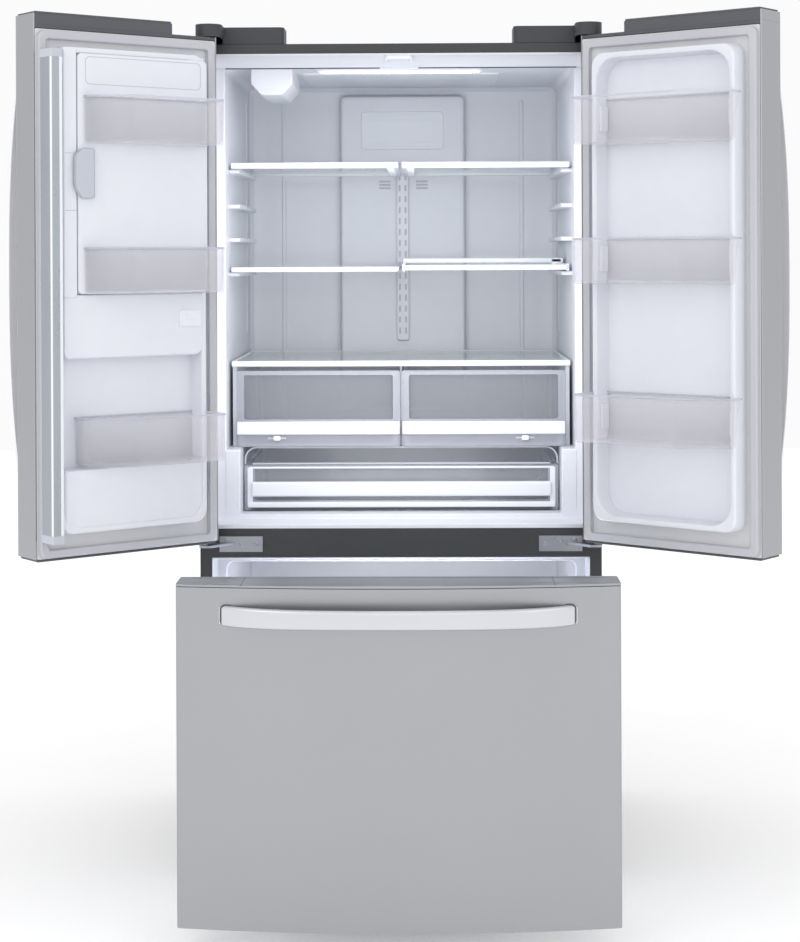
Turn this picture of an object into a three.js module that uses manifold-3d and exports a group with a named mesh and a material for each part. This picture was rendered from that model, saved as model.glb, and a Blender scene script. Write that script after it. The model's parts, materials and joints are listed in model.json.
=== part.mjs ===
// A refrigerator with two upper doors over a freezer drawer, all three standing open.
// Millimetres, +Z up, +X to the right, +Y towards the back. Everything is laid out with y = 0 on
// the cabinet's front plane, and the whole is moved at the end so that its origin is on the floor
// under the middle of the space that it takes up.

import * as THREE from 'three';
import { mergeVertices } from 'three/addons/utils/BufferGeometryUtils.js';
import Module from 'manifold-3d';

const wasm = await Module();
wasm.setup();

// ---------------------------------------------------------------- driving dimensions

const GAP = 0.3;                // between pieces that touch
const SHEET = 3;                // wall of a bin or a steel door skin
const CASE = { half: 416, back: 720, bottom: 45, top: 1737, skin: 4 };
const FRESH_OPENING = { half: 392, low: 732.6, high: 1716.5 };
const FREEZER_OPENING = { half: 392, low: 75, high: 672.8 };
const MACHINE = { front: 500, top: 290 };               // compressor space, at the back
const LINER_WALL = 3.5;
const FRESH = {                                         // inside faces of the upper liner
  frontHalf: 388, frontLow: 742, frontHigh: 1713, frontDepth: 70,
  half: 368, low: 753, high: 1700, back: 640, stepHalf: 338, stepTop: 889,
};
const FREEZER = {                                       // inside faces of the lower liner
  frontHalf: 388, frontLow: 79, frontHigh: 669, frontDepth: 60,
  half: 366, low: 92, high: 655, back: 640, stepBack: 480, stepTop: 320,
};
const LEDGE = { inner: 350, low: 372, top: 392, back: 470 };
const RIB_TOPS = [1263.1, 1337, 1409, 1484.4];
const SHELF = { half: 362, front: 130, back: 592 };

const HINGE = { x: 402, y: -42.7, fromEdge: 14, behind: 30.7, pin: 6 };
const DOOR = { width: 414, edge: 78.4, bow: 14, low: 716.7, high: 1736.7, capTop: 1770, notch: 99 };
const DOOR_OPEN = THREE.MathUtils.degToRad(141.4);
const NOTCH_TOP = 1745;
const DYKE = { near: 48, far: 379.5, wall: 17, height: 40, low: 762, high: 1704 };
const BASKET = { front: 116, shoulder: 52, inset: 3, farLeft: 332, farRight: 378 };
const LEFT_BASKETS = { top: [1517, 1609], middle: [1225.4, 1316], bottom: [893, 987] };
const RIGHT_BASKETS = { top: [1516, 1611], middle: [1240, 1331], bottom: [927, 1023] };
const DOOR_HANDLE = { low: 825, high: 1685, near: 361, far: 399, foot: 34 };
const LATCH = { near: 312, far: 354, heights: [1410, 1506] };
const ICE = { near: 60, far: 340, low: 1235, high: 1685, back: -55 };
const ICE_DOOR = { near: 50, far: 343, low: 1225.3, high: 1690, inner: 33, outer: 45 };
const ICE_HINGE = { across: 57, depth: 36, pin: 2.5 };
const MULLION = { half: 23, front: 1.5, back: 27.5, low: 752, high: 1694, pivotX: -15, pivotY: 9 };
const DISPENSER = { near: 110, far: 304, low: 950, shelf: 1222, high: 1405, face: -94, back: -24 };

const DRAWER = { half: 414, back: -12, edge: 78.4, bow: 33, low: 49, high: 690, open: 337 };

// ---------------------------------------------------------------- finishes

/** A plain finish from a colour, a roughness and a metalness. */
function finish(color, roughness, metalness = 0) {
  return new THREE.MeshStandardMaterial({ color, roughness, metalness, flatShading: true });
}

const steel = () => finish('#a9aaae', 0.34, 1);
const zinc = () => finish('#9da3a8', 0.4, 1);
const darkSheet = () => finish('#4c4c4f', 0.5, 0.2);
const darkPlastic = () => finish('#55565a', 0.55);
const blackPlastic = () => finish('#1d1e21', 0.4);
const liner = () => finish('#e0e3ef', 0.35);
const whitePlastic = () => finish('#eceef2', 0.3);
const clearPlastic = () => finish('#c6c3d2', 0.15);
const greyRubber = () => finish('#c8c9cc', 0.7);
const greyPlastic = () => finish('#bebfc7', 0.4);
const foam = () => finish('#d8cfa6', 0.95);

// ---------------------------------------------------------------- outlines and solids

const at = (x, y) => new THREE.Vector2(x, y);

/** The four corners of a rectangle. */
function rectangle([x0, x1], [y0, y1]) {
  return [at(x0, y0), at(x1, y0), at(x1, y1), at(x0, y1)];
}

/** Rounds the corners of an outline; radii is one number, or one for each corner. */
function fillet(corners, radii, steps = 3) {
  return corners.flatMap((corner, i) => {
    const radius = Array.isArray(radii) ? radii[i] : radii;
    if (!radius) return [corner];
    const before = corners.at(i - 1).clone().sub(corner).normalize();
    const after = corners[(i + 1) % corners.length].clone().sub(corner).normalize();
    const half = Math.acos(before.dot(after)) / 2;
    const reach = radius / Math.tan(half);
    const middle = before.clone().add(after).normalize();
    const centre = corner.clone().addScaledVector(middle, radius / Math.sin(half));
    const first = corner.clone().addScaledVector(before, reach).sub(centre);
    const last = corner.clone().addScaledVector(after, reach).sub(centre);
    const arc = (k) => first.clone().lerp(last, k / steps).setLength(radius).add(centre);
    return Array.from({ length: steps + 1 }, (_, k) => arc(k));
  });
}

/** Moves every side of an outline inwards by a distance. */
function inset(points, distance) {
  const turn = THREE.ShapeUtils.area(points) > 0 ? 1 : -1;
  const normal = (from, to) => {
    const run = to.clone().sub(from).normalize();
    return at(-run.y * turn, run.x * turn);
  };
  return points.map((point, i) => {
    const before = normal(points.at(i - 1), point);
    const after = normal(point, points[(i + 1) % points.length]);
    const mitre = distance / (1 + before.dot(after));
    return point.clone().addScaledVector(before.add(after), mitre);
  });
}

/** Points of a shallow curve from one side to the other that stands out by bow in the middle. */
function bowed(from, to, level, bow, steps = 12) {
  return Array.from({ length: steps + 1 }, (_, k) => {
    const t = (2 * k) / steps - 1;
    return at(THREE.MathUtils.lerp(from, to, k / steps), level - bow * (1 - t * t));
  });
}

/** A flat back from one side to the other and a bowed face, with rounded corners at its ends. */
function slabPlan(from, to, back, level, bow, radius, steps = 12) {
  const face = bowed(from, to, level, bow, steps);
  const radii = [0, 0, radius, ...Array(steps - 1).fill(0), radius];
  return fillet([at(to, back), at(from, back), ...face], radii);
}

function circle(x, y, radius, sides = 16) {
  return Array.from({ length: sides }, (_, k) => {
    const angle = (2 * Math.PI * k) / sides;
    return at(x + radius * Math.cos(angle), y + radius * Math.sin(angle));
  });
}

/** The closed solid of a three.js geometry, ready to be joined and cut. */
function toSolid(geometry) {
  geometry.deleteAttribute('normal');
  geometry.deleteAttribute('uv');
  const merged = mergeVertices(geometry, 1e-3);
  const vertProperties = new Float32Array(merged.attributes.position.array);
  const triVerts = new Uint32Array(merged.index.array);
  return new wasm.Manifold(new wasm.Mesh({ numProp: 3, vertProperties, triVerts }));
}

function extruded(outline, depth) {
  const shape = new THREE.Shape(outline);
  return new THREE.ExtrudeGeometry(shape, { depth, steps: 1, bevelEnabled: false });
}

/** An outline in X and Y, standing from z0 to z1. */
function prismZ(outline, [z0, z1]) {
  return toSolid(extruded(outline, z1 - z0).translate(0, 0, z0));
}

/** An outline in Y and Z, running from x0 to x1. */
function prismX(outline, [x0, x1]) {
  const turned = new THREE.Matrix4().set(0, 0, 1, x0, 1, 0, 0, 0, 0, 1, 0, 0, 0, 0, 0, 1);
  return toSolid(extruded(outline, x1 - x0).applyMatrix4(turned));
}

/** An outline in X and Z, running from y0 to y1. */
function prismY(outline, [y0, y1]) {
  const turned = new THREE.Matrix4().set(1, 0, 0, 0, 0, 0, -1, y1, 0, 1, 0, 0, 0, 0, 0, 1);
  return toSolid(extruded(outline, y1 - y0).applyMatrix4(turned));
}

function block([x0, x1], [y0, y1], [z0, z1]) {
  const box = new THREE.BoxGeometry(Math.abs(x1 - x0), Math.abs(y1 - y0), Math.abs(z1 - z0));
  return toSolid(box.translate((x0 + x1) / 2, (y0 + y1) / 2, (z0 + z1) / 2));
}

/** A round post standing on z. */
function post(x, y, radius, heights, sides = 16) {
  return prismZ(circle(x, y, radius, sides), heights);
}

const join = (first, ...rest) => rest.reduce((whole, next) => whole.add(next), first);
const cut = (first, ...rest) => rest.reduce((whole, next) => whole.subtract(next), first);

/** A bin: an outline in X and Y with a floor and walls of one thickness, open at the top. */
function bin(outline, [z0, z1], wall = SHEET) {
  return cut(prismZ(outline, [z0, z1]), prismZ(inset(outline, wall), [z0 + wall, z1 + 1]));
}

/** Adds a solid to a group as a named mesh. */
function piece(group, name, solid, material) {
  const { vertProperties, triVerts } = solid.getMesh();
  const geometry = new THREE.BufferGeometry();
  geometry.setAttribute('position', new THREE.BufferAttribute(vertProperties, 3));
  geometry.setIndex(new THREE.BufferAttribute(triVerts, 1));
  const mesh = new THREE.Mesh(geometry, material);
  mesh.name = name;
  group.add(mesh);
}

const SIDES = [{ side: -1, label: 'left' }, { side: 1, label: 'right' }];

/** A range on the left (side -1) or the right (side +1) of the middle, lowest value first. */
const onSide = (side, near, far) => (side > 0 ? [near, far] : [-far, -near]);

// ---------------------------------------------------------------- cabinet

/** The folded steel wrap with its front flange, crossbar and back panel. */
function outerCase() {
  const { half, back, bottom, top, skin } = CASE;
  const inside = half - skin;
  const wrap = block([-half, half], [0, back], [bottom, top]);
  const hollow = block([-inside, inside], [skin, back - skin], [bottom - 1, top - skin]);
  const opening = ({ half: side, low, high }) => block([-side, side], [-1, skin + 1], [low, high]);
  const machine = block([-inside, inside], [back - skin - 1, back + 1], [bottom - 1, MACHINE.top]);
  return cut(wrap, hollow, opening(FRESH_OPENING), opening(FREEZER_OPENING), machine);
}

/** The floor of the cabinet, with the sides of the compressor space and the two rear skids. */
function basePan() {
  const half = CASE.half - CASE.skin - GAP;
  const back = CASE.back - CASE.skin - GAP;
  const front = CASE.skin + GAP;
  let pan = block([-half, half], [front, back], [CASE.bottom, CASE.bottom + 12]);
  for (const { side } of SIDES) {
    const cheek = onSide(side, half - 7, half);
    pan = join(pan, block(cheek, [MACHINE.front, back], [CASE.bottom, MACHINE.top - GAP]));
    const skid = fillet(rectangle([630, 700], [0, CASE.bottom + 2]), [14, 14, 0, 0]);
    pan = join(pan, prismX(skid, onSide(side, 330, 366)));
  }
  return pan;
}

/** Inside space of the upper liner, grown by a margin: a wide mouth and a narrower body. */
function freshSpace(margin, front) {
  const mouth = block(
    [-FRESH.frontHalf - margin, FRESH.frontHalf + margin],
    [front, FRESH.frontDepth + margin],
    [FRESH.frontLow - margin, FRESH.frontHigh + margin],
  );
  const body = [
    at(-FRESH.stepHalf, FRESH.low), at(FRESH.stepHalf, FRESH.low),
    at(FRESH.stepHalf, FRESH.stepTop), at(FRESH.half, FRESH.stepTop),
    at(FRESH.half, FRESH.high), at(-FRESH.half, FRESH.high),
    at(-FRESH.half, FRESH.stepTop), at(-FRESH.stepHalf, FRESH.stepTop),
  ];
  const depth = [FRESH.frontDepth - 10, FRESH.back + margin];
  return join(mouth, prismY(inset(body, -margin), depth));
}

/** Inside space of the lower liner, grown by a margin, stepped over the compressor space. */
function freezerSpace(margin, front) {
  const mouth = block(
    [-FREEZER.frontHalf - margin, FREEZER.frontHalf + margin],
    [front, FREEZER.frontDepth + margin],
    [FREEZER.frontLow - margin, FREEZER.frontHigh + margin],
  );
  const start = FREEZER.frontDepth - 10;
  const body = [
    at(start, FREEZER.low), at(FREEZER.stepBack, FREEZER.low),
    at(FREEZER.stepBack, FREEZER.stepTop), at(FREEZER.back, FREEZER.stepTop),
    at(FREEZER.back, FREEZER.high), at(start, FREEZER.high),
  ];
  const half = FREEZER.half + margin;
  return join(mouth, prismX(inset(body, -margin), [-half, half]));
}

/** The foam between the case and the two liners. */
function insulationFoam() {
  const half = CASE.half - CASE.skin - GAP;
  const depth = [CASE.skin + GAP, CASE.back - CASE.skin - GAP];
  const heights = [CASE.bottom + 12 + GAP, CASE.top - CASE.skin - GAP];
  const machine = block([-half - 1, half + 1], [MACHINE.front, CASE.back], [0, MACHINE.top]);
  const margin = LINER_WALL + GAP;
  return cut(block([-half, half], depth, heights), machine, freshSpace(margin, -1),
    freezerSpace(margin, -1));
}

/** The upper liner, with shelf ribs on its side walls and the guide for the mullion. */
function freshFoodLiner() {
  let shell = cut(freshSpace(LINER_WALL, GAP), freshSpace(0, -1));
  for (const { side } of SIDES) {
    for (const top of RIB_TOPS) {
      const rib = fillet(rectangle([150, 560], [top - 9, top]), [4, 4, 0, 0], 1);
      shell = join(shell, prismX(rib, onSide(side, 344, FRESH.half + 1)));
    }
  }
  return join(shell, block([-30, 30], [2, 40], [1705, FRESH.frontHigh + 1]));
}

/** The lower liner, with the ledge that the drawer's arms run on. */
function freezerLiner() {
  let shell = cut(freezerSpace(LINER_WALL, GAP), freezerSpace(0, -1));
  for (const { side } of SIDES) {
    const heights = [LEDGE.low, LEDGE.top];
    const mouth = onSide(side, LEDGE.inner, FREEZER.frontHalf + 1);
    const body = onSide(side, LEDGE.inner, FREEZER.half + 1);
    shell = join(shell, block(mouth, [5, FREEZER.frontDepth], heights));
    shell = join(shell, block(body, [FREEZER.frontDepth - 1, LEDGE.back], heights));
  }
  return shell;
}

/** The plate, step, arm and pin that hold a door at the top. */
function upperHinge(side) {
  const arm = onSide(side, 389, 412);
  return join(
    block(onSide(side, 262, 412), [40, 80], [CASE.top + GAP, 1741]),
    block(arm, [40, 60], [CASE.top + GAP, 1750.5]),
    block(arm, [HINGE.y, 60], [1746.5, 1750.5]),
    post(side * HINGE.x, HINGE.y, 10, [1746.5, 1750.5]),
    post(side * HINGE.x, HINGE.y, HINGE.pin, [1722, 1748]),
  );
}

/** The moulded cover over an upper hinge, with its rounded nose above the pin. */
function hingeCover(side) {
  const nose = { inner: 362, outer: 416, front: -70 };
  const x = (value) => side * value;
  const outline = fillet([
    at(x(238), 2), at(x(nose.inner), 2), at(x(nose.inner), nose.front),
    at(x(nose.outer), nose.front), at(x(nose.outer), 92), at(x(238), 92),
  ], [12, 0, 25, 25, 8, 12], 5);
  const skirt = prismZ(fillet(rectangle(onSide(side, 238, 416), [2, 92]), [12, 8, 8, 12]),
    [CASE.top + GAP, 1747]);
  const hollow = prismZ(inset(outline, SHEET), [CASE.top - 1, 1769]);
  return cut(join(prismZ(outline, [1746, 1772]), skirt), hollow);
}

/** The bracket on the crossbar, its arm and the pin that carries a door. */
function lowerHinge(side) {
  const arm = [at(340, -GAP), at(375.5, -GAP), at(413, -40), at(402, -53), at(388, -53)];
  return join(
    block(onSide(side, 286, 375.5), [-4, -GAP], [685, 717]),
    prismZ(arm.map((p) => at(side * p.x, p.y)), [700, 705]),
    post(side * HINGE.x, HINGE.y, 11, [700, 705]),
    post(side * HINGE.x, HINGE.y, HINGE.pin, [702, 735]),
  );
}

function levellingFoot(side) {
  return join(post(side * 360, 62, 20, [0, 9]), post(side * 360, 62, 7, [8, CASE.bottom - GAP]));
}

/** The slotted kick panel under the drawer. */
function toeGrille() {
  let panel = prismY(fillet(rectangle([-396, 396], [8, CASE.bottom - GAP]), 5), [12, 20]);
  const count = 18;
  for (let k = 0; k < count; k += 1) {
    const x = -374 + (k * 748) / (count - 1);
    panel = cut(panel, block([x - 14, x + 14], [11, 21], [18, 36]));
  }
  return panel;
}

/** The vented panel that closes the compressor space at the back. */
function machineCover() {
  const half = CASE.half - CASE.skin - GAP;
  let panel = block([-half, half], [CASE.back - CASE.skin + GAP, CASE.back],
    [CASE.bottom + GAP, MACHINE.top - GAP]);
  for (const column of [-1, 1]) {
    for (let row = 0; row < 6; row += 1) {
      const z = 100 + row * 26;
      panel = cut(panel, block([column * 220 - 130, column * 220 + 130], [710, 730], [z, z + 9]));
    }
  }
  return panel;
}

/** The compressor's can on its plate, the finned condenser and the pipe between them. */
function compressorAndCondenser() {
  const floor = CASE.bottom + 12 + GAP;
  const can = [at(0, 0), at(70, 0), at(86, 22), at(86, 118), at(66, 150), at(0, 158)];
  const lathe = new THREE.LatheGeometry(can, 20).rotateX(Math.PI / 2);
  const canSolid = toSolid(lathe.translate(-240, 606, floor + 14));
  const plate = block([-340, -140], [520, 692], [floor, floor + 16]);
  const route = new THREE.CatmullRomCurve3([
    new THREE.Vector3(-240, 606, 200), new THREE.Vector3(-200, 590, 250),
    new THREE.Vector3(-60, 570, 262), new THREE.Vector3(40, 600, 240),
    new THREE.Vector3(60, 610, 180),
  ]);
  const section = new THREE.Shape(circle(0, 0, 4.5, 8));
  const pipe = new THREE.ExtrudeGeometry(section, { steps: 20, extrudePath: route });
  let coil = block([30, 370], [540, 690], [floor, floor + 180]);
  for (let k = 0; k < 12; k += 1) {
    const x = 52 + k * 26;
    coil = cut(coil, block([x, x + 14], [530, 700], [floor + 20, floor + 160]));
  }
  return join(canSolid, plate, toSolid(pipe), coil);
}

/** The air duct on the back wall, with its vents and the slotted shelf rail in the middle. */
function ductPanel() {
  const face = 612;
  const panel = prismY(fillet(rectangle([-150, 150], [930, 1680]), 14), [face, FRESH.back - GAP]);
  const rail = block([-14, 14], [600, face + 1], [1097, 1519]);
  let whole = join(panel, rail);
  for (const z of [1560, 1592, 1624, 1655]) {
    whole = cut(whole, prismY(fillet(rectangle([-110, 110], [z - 5, z + 5]), 4.9, 2), [611, 622]));
  }
  for (let z = 1112; z < 1510; z += 36) {
    whole = cut(whole, block([-9, -3], [599, 608], [z, z + 20]));
    whole = cut(whole, block([3, 9], [599, 608], [z, z + 20]));
  }
  return whole;
}

/** One half-width glass shelf with its thicker front and side trim. */
function halfShelf(side, low, high) {
  const across = onSide(side, 4, SHELF.half);
  const glass = block(across, [SHELF.front + 8, SHELF.back - 8], [low + 4, high - 2]);
  const front = block(across, [SHELF.front, SHELF.front + 18], [low, high]);
  const back = block(across, [SHELF.back - 18, SHELF.back], [low, high]);
  const near = block(onSide(side, 4, 14), [SHELF.front, SHELF.back], [low, high]);
  const far = block(onSide(side, SHELF.half - 12, SHELF.half), [SHELF.front, SHELF.back],
    [low, high]);
  return join(glass, front, back, near, far);
}

/** The fixed rear half of the lower right shelf and the rails that its front half runs in. */
function slidingShelfFrame() {
  const [low, high] = [1263.4, 1291];
  let frame = block([5, 361], [330, SHELF.back], [1279.5, high]);
  for (const [wall, lip] of [[[4, 10], [9, 17]], [[356, 362], [349, 357]]]) {
    frame = join(frame, block(wall, [150, SHELF.back], [low, high]));
    frame = join(frame, block(lip, [150, SHELF.back], [low, low + 2]));
  }
  return frame;
}

/** The glass lid over the crispers, the walls beside and between them, and the pantry's hood. */
function crisperFrame() {
  const floor = FRESH.stepTop + GAP;
  let frame = block([-SHELF.half, SHELF.half], [150, SHELF.back], [floor, 1073]);
  for (const { side } of SIDES) {
    frame = cut(frame, block(onSide(side, 6, 350), [140, 600], [floor + 4, 1061]));
  }
  const trim = block([-SHELF.half, SHELF.half], [SHELF.front, 151], [1061, 1073]);
  const hood = fillet(rectangle([-335, 335], [853, floor + GAP]), [0, 0, 26, 26], 5);
  return join(frame, trim, prismY(hood, [132, SHELF.back]));
}

/** The hanging cover of the water filter; it swings down about its back edge. */
function filterCover() {
  const outline = fillet([at(-304, 1643), at(-244, 1643), at(-230, 1699.7), at(-319, 1699.7)],
    [14, 14, 0, 0], 4);
  const cover = prismY(outline, [140, 400]);
  const hollow = inset(outline, SHEET).map((p) => at(p.x, p.y > 1680 ? 1702 : p.y));
  return cut(cover, prismY(hollow, [143, 397]));
}

/** The front half of the lower right shelf. */
function slidingShelf() {
  const trim = block([10.5, 355.5], [SHELF.front, SHELF.front + 20], [1265.7, 1277]);
  return join(trim, block([10.5, 355.5], [SHELF.front + 10, 345], [1268, 1275]));
}

/** A crisper drawer with its front panel and finger band. */
function crisper(side) {
  const body = join(
    block(onSide(side, 8, 346), [147, 575], [894, 1050]),
    block(onSide(side, 2, 351), [124, 148], [890, 1052]),
    block(onSide(side, 2, 351), [116, 125], [916, 944]),
  );
  return cut(body, block(onSide(side, 11, 343), [129, 572], [897, 1060]));
}

function humiditySlider(side) {
  return prismY(fillet(rectangle(onSide(side, 257, 273), [903, 914]), 2, 2), [117, 124 - GAP]);
}

/** The full-width pantry drawer with its front ledge and band. */
function pantryDrawer() {
  const body = join(
    block([-330, 330], [130, 585], [757, 848]),
    block([-335, 335], [124, 146], [755, 850]),
    block([-335, 335], [114, 125], [784, 816]),
    block([-335, 335], [116, 125], [761, 773]),
  );
  return cut(body, block([-327, 327], [129, 582], [760, 860]));
}

/** Builds the cabinet and everything inside it that doesn't belong to a door. */
function cabinet() {
  const group = new THREE.Group();
  piece(group, 'outer_case', outerCase(), darkSheet());
  piece(group, 'base_pan', basePan(), zinc());
  piece(group, 'insulation_foam', insulationFoam(), foam());
  piece(group, 'fresh_food_liner', freshFoodLiner(), liner());
  piece(group, 'freezer_liner', freezerLiner(), liner());
  piece(group, 'toe_grille', toeGrille(), darkPlastic());
  piece(group, 'machine_cover', machineCover(), darkSheet());
  piece(group, 'compressor_and_condenser', compressorAndCondenser(), blackPlastic());
  piece(group, 'duct_panel', ductPanel(), whitePlastic());
  piece(group, 'ceiling_lamp', block([-177, 177], [110, 160], [1689, 1699.7]), whitePlastic());
  piece(group, 'crisper_frame', crisperFrame(), whitePlastic());
  piece(group, 'shelf_lower_left', halfShelf(-1, 1263.4, 1274), whitePlastic());
  piece(group, 'shelf_lower_right_frame', slidingShelfFrame(), whitePlastic());
  piece(group, 'shelf_lower_right_front', slidingShelf(), whitePlastic());
  piece(group, 'filter_cover', filterCover(), whitePlastic());
  piece(group, 'pantry_drawer', pantryDrawer(), clearPlastic());
  for (const { side, label } of SIDES) {
    piece(group, `upper_hinge_${label}`, upperHinge(side), zinc());
    piece(group, `hinge_cover_${label}`, hingeCover(side), darkPlastic());
    piece(group, `lower_hinge_${label}`, lowerHinge(side), zinc());
    piece(group, `levelling_foot_${label}`, levellingFoot(side), blackPlastic());
    piece(group, `shelf_upper_${label}`, halfShelf(side, 1484.7, 1497.5), whitePlastic());
    piece(group, `crisper_${label}`, crisper(side), clearPlastic());
    piece(group, `humidity_slider_${label}`, humiditySlider(side), greyPlastic());
  }
  return group;
}

// ---------------------------------------------------------------- upper doors

// A door is laid out across from its hinge edge and in depth from its inner face, inwards
// positive. Its own frame has its origin on the hinge axis.
const across = (side, value) => -side * (value - HINGE.fromEdge);
const depth = (value) => HINGE.behind + value;
const doorOutline = (side, outline) => outline.map((p) => at(across(side, p.x), depth(p.y)));

function doorBlock(side, [a0, a1], [d0, d1], heights) {
  return block([across(side, a0), across(side, a1)], [depth(d0), depth(d1)], heights);
}

function doorPrism(side, outline, heights) {
  return prismZ(doorOutline(side, outline), heights);
}

/** The plan of a door: a flat inner face, flat edges and a slightly bowed outer face. */
function doorPlan(margin = 0) {
  const low = margin;
  const high = DOOR.width - margin;
  return slabPlan(low, high, 0, -DOOR.edge + margin, DOOR.bow, 9 - margin);
}

/** The space for the dispenser, grown by a margin: a shallow upper part and a deep niche. */
function dispenserSpace(side, margin) {
  const span = [DISPENSER.near - margin, DISPENSER.far + margin];
  const niche = [DISPENSER.low - margin, DISPENSER.shelf + margin];
  return join(
    doorBlock(side, span, [-110, DISPENSER.back + margin], niche),
    doorBlock(side, span, [-110, -74 + margin], [DISPENSER.shelf - 1, DISPENSER.high + margin]),
  );
}

/** The folded steel skin of a door: outer face and edges, open towards the inside. */
function doorShell(side) {
  const skin = doorPrism(side, doorPlan(), [DOOR.low, 1766]);
  const pocket = join(
    doorPrism(side, doorPlan(SHEET), [DOOR.low - 1, 1767]),
    doorBlock(side, [SHEET, DOOR.width - SHEET], [-1, 1], [DOOR.low - 1, 1767]),
  );
  const notch = doorBlock(side, [-1, DOOR.notch], [-110, 1], [NOTCH_TOP, 1767]);
  const shell = cut(skin, pocket, notch);
  return side < 0 ? cut(shell, dispenserSpace(side, GAP)) : shell;
}

/** The frame of foam and moulded sheet that fills a door, with its raised rim for the baskets. */
function rightDoorLiner(side) {
  const { near, far, wall, height, low, high } = DYKE;
  const core = doorPrism(side, doorPlan(SHEET + GAP), [DOOR.low, DOOR.high]);
  const rim = doorBlock(side, [near, far], [-1, height], [low, high]);
  const inner = doorBlock(side, [near + wall, far - wall], [0, height + 1], [low + wall, high - wall]);
  return cut(core.add(cut(rim, inner)), pinHoles(side));
}

/** The holes that the hinge pins turn in. */
function pinHoles(side) {
  const x = across(side, HINGE.fromEdge);
  const radius = HINGE.pin + 1;
  return join(post(x, 0, radius, [DOOR.low - 1, 742]), post(x, 0, radius, [1716, 1775]));
}

/** The left door's filling: ice compartment above, smooth block, then the low basket's recess. */
function leftDoorLiner(side) {
  const { near, far, wall, height, low, high } = DYKE;
  const slope = 18;
  const raised = join(
    doorBlock(side, [near + slope, far], [-1, ICE_DOOR.inner - GAP], [1224, high]),
    doorBlock(side, [near, far], [-1, 24], [1224, high]),
    doorBlock(side, [ICE_DOOR.far + 1, 372], [-1, 43.5], [1224, high]),
    doorBlock(side, [near, far], [-1, height], [ICE_DOOR.high + 1, high]),
    doorBlock(side, [near, far], [-1, height], [1100, ICE_DOOR.low - GAP]),
    doorBlock(side, [near, near + wall], [-1, height], [888, 1101]),
    doorBlock(side, [far - wall, far], [-1, height], [888, 1101]),
    doorBlock(side, [near, far], [-1, height], [low, 889]),
    doorBlock(side, [366, 406], [14, 28], [1694.6, 1703.5]),
    doorBlock(side, [366, far], [14, 28], [743, low + 1]),
    doorBlock(side, [366, 406], [14, 28], [743, 751.4]),
  );
  const pin = [across(side, ICE_HINGE.across), depth(ICE_HINGE.depth), ICE_HINGE.pin + 0.5];
  return cut(
    doorPrism(side, doorPlan(SHEET + GAP), [DOOR.low, DOOR.high]).add(raised),
    doorBlock(side, [ICE.near, ICE.far], [ICE.back, 60], [ICE.low, ICE.high]),
    dispenserSpace(side, GAP),
    post(...pin, [1217, 1226], 8),
    post(...pin, [1689, 1698], 8),
    pinHoles(side),
  );
}

/** The seal around a door's inner face. */
function doorGasket(side) {
  const ring = doorBlock(side, [10, 408], [GAP, 11.2], [718, 1733]);
  return cut(ring, doorBlock(side, [28, 384], [-1, 20], [740, 1712]));
}

/** The moulded cap on top of a door, lower where the hinge passes over it. */
function doorTopCap(side) {
  const cap = doorPrism(side, doorPlan(SHEET + GAP), [DOOR.high + GAP, DOOR.capTop]);
  const notch = doorBlock(side, [-1, DOOR.notch + GAP], [-110, 1], [NOTCH_TOP, DOOR.capTop + 1]);
  return cut(cap, notch, pinHoles(side));
}

/** A long strap handle, bowed away from the door between its two ends. */
function doorHandle(side) {
  const { low, high, near, far, foot } = DOOR_HANDLE;
  const curve = (reach, trim) => bowed(low + trim, high - trim, -86, reach, 16);
  const outer = curve(57, 0).map((p) => at(depth(p.y - 8), p.x));
  const inner = curve(57, foot + 2).map((p) => at(depth(p.y), p.x)).reverse();
  const ends = [at(depth(-70), high), at(depth(-70), high - foot)];
  const feet = [at(depth(-70), low + foot), at(depth(-70), low)];
  const strap = prismX([...outer, ...ends, ...inner, ...feet],
    [across(side, near), across(side, far)].sort((a, b) => a - b));
  return cut(strap, doorPrism(side, inset(doorPlan(), -GAP), [800, 1710]));
}

/** The plan of a door basket; its front corner on the free side is cut back. */
function basketPlan(back, far, hooked) {
  const near = DYKE.near;
  const front = BASKET.front;
  const corner = far - 66;
  const side = near + BASKET.inset;
  const face = [at(far, BASKET.shoulder), at(corner, front), at(side + 6, front),
    at(side, front - 8), at(side, front - 50)];
  if (!hooked) return [at(near, back), at(far, back), ...face];
  const start = near + DYKE.wall + 0.4;
  const end = far > 350 ? DYKE.far - DYKE.wall - 0.4 : far;
  const shelf = DYKE.height + 0.4;
  const wide = far > end ? [at(end, shelf), at(far, shelf)] : [];
  return [at(start, back), at(end, back), ...wide, ...face, at(near, shelf), at(start, shelf)];
}

function basket(side, plan, heights) {
  return bin(doorOutline(side, plan), heights);
}

/** The dispenser's bezel and niche, with its spout in the niche's ceiling. */
function dispenserHousing(side) {
  const { near, far, low, shelf, high, face, back } = DISPENSER;
  return join(
    cut(
      join(
        doorBlock(side, [near, far], [face, back], [low, shelf]),
        doorBlock(side, [near, far], [face, -74], [shelf - 1, high]),
      ),
      doorBlock(side, [near + 8, far - 8], [face - 1, back - 4], [low + 12, shelf - 6]),
    ),
    post(across(side, (near + far) / 2), depth(-62), 20, [1196, shelf - 5]),
  );
}

/** The paddle that a glass is pressed against, on its cross shaft. */
function dispenserLever(side) {
  const middle = (DISPENSER.near + DISPENSER.far) / 2;
  const shaft = circle(depth(-42), 1186, 3, 10);
  const ends = [across(side, DISPENSER.near + 10), across(side, DISPENSER.far - 10)];
  return join(
    prismX(shaft, ends),
    doorBlock(side, [middle - 20, middle + 20], [-44, -40], [1080, 1188]),
  );
}

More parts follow.
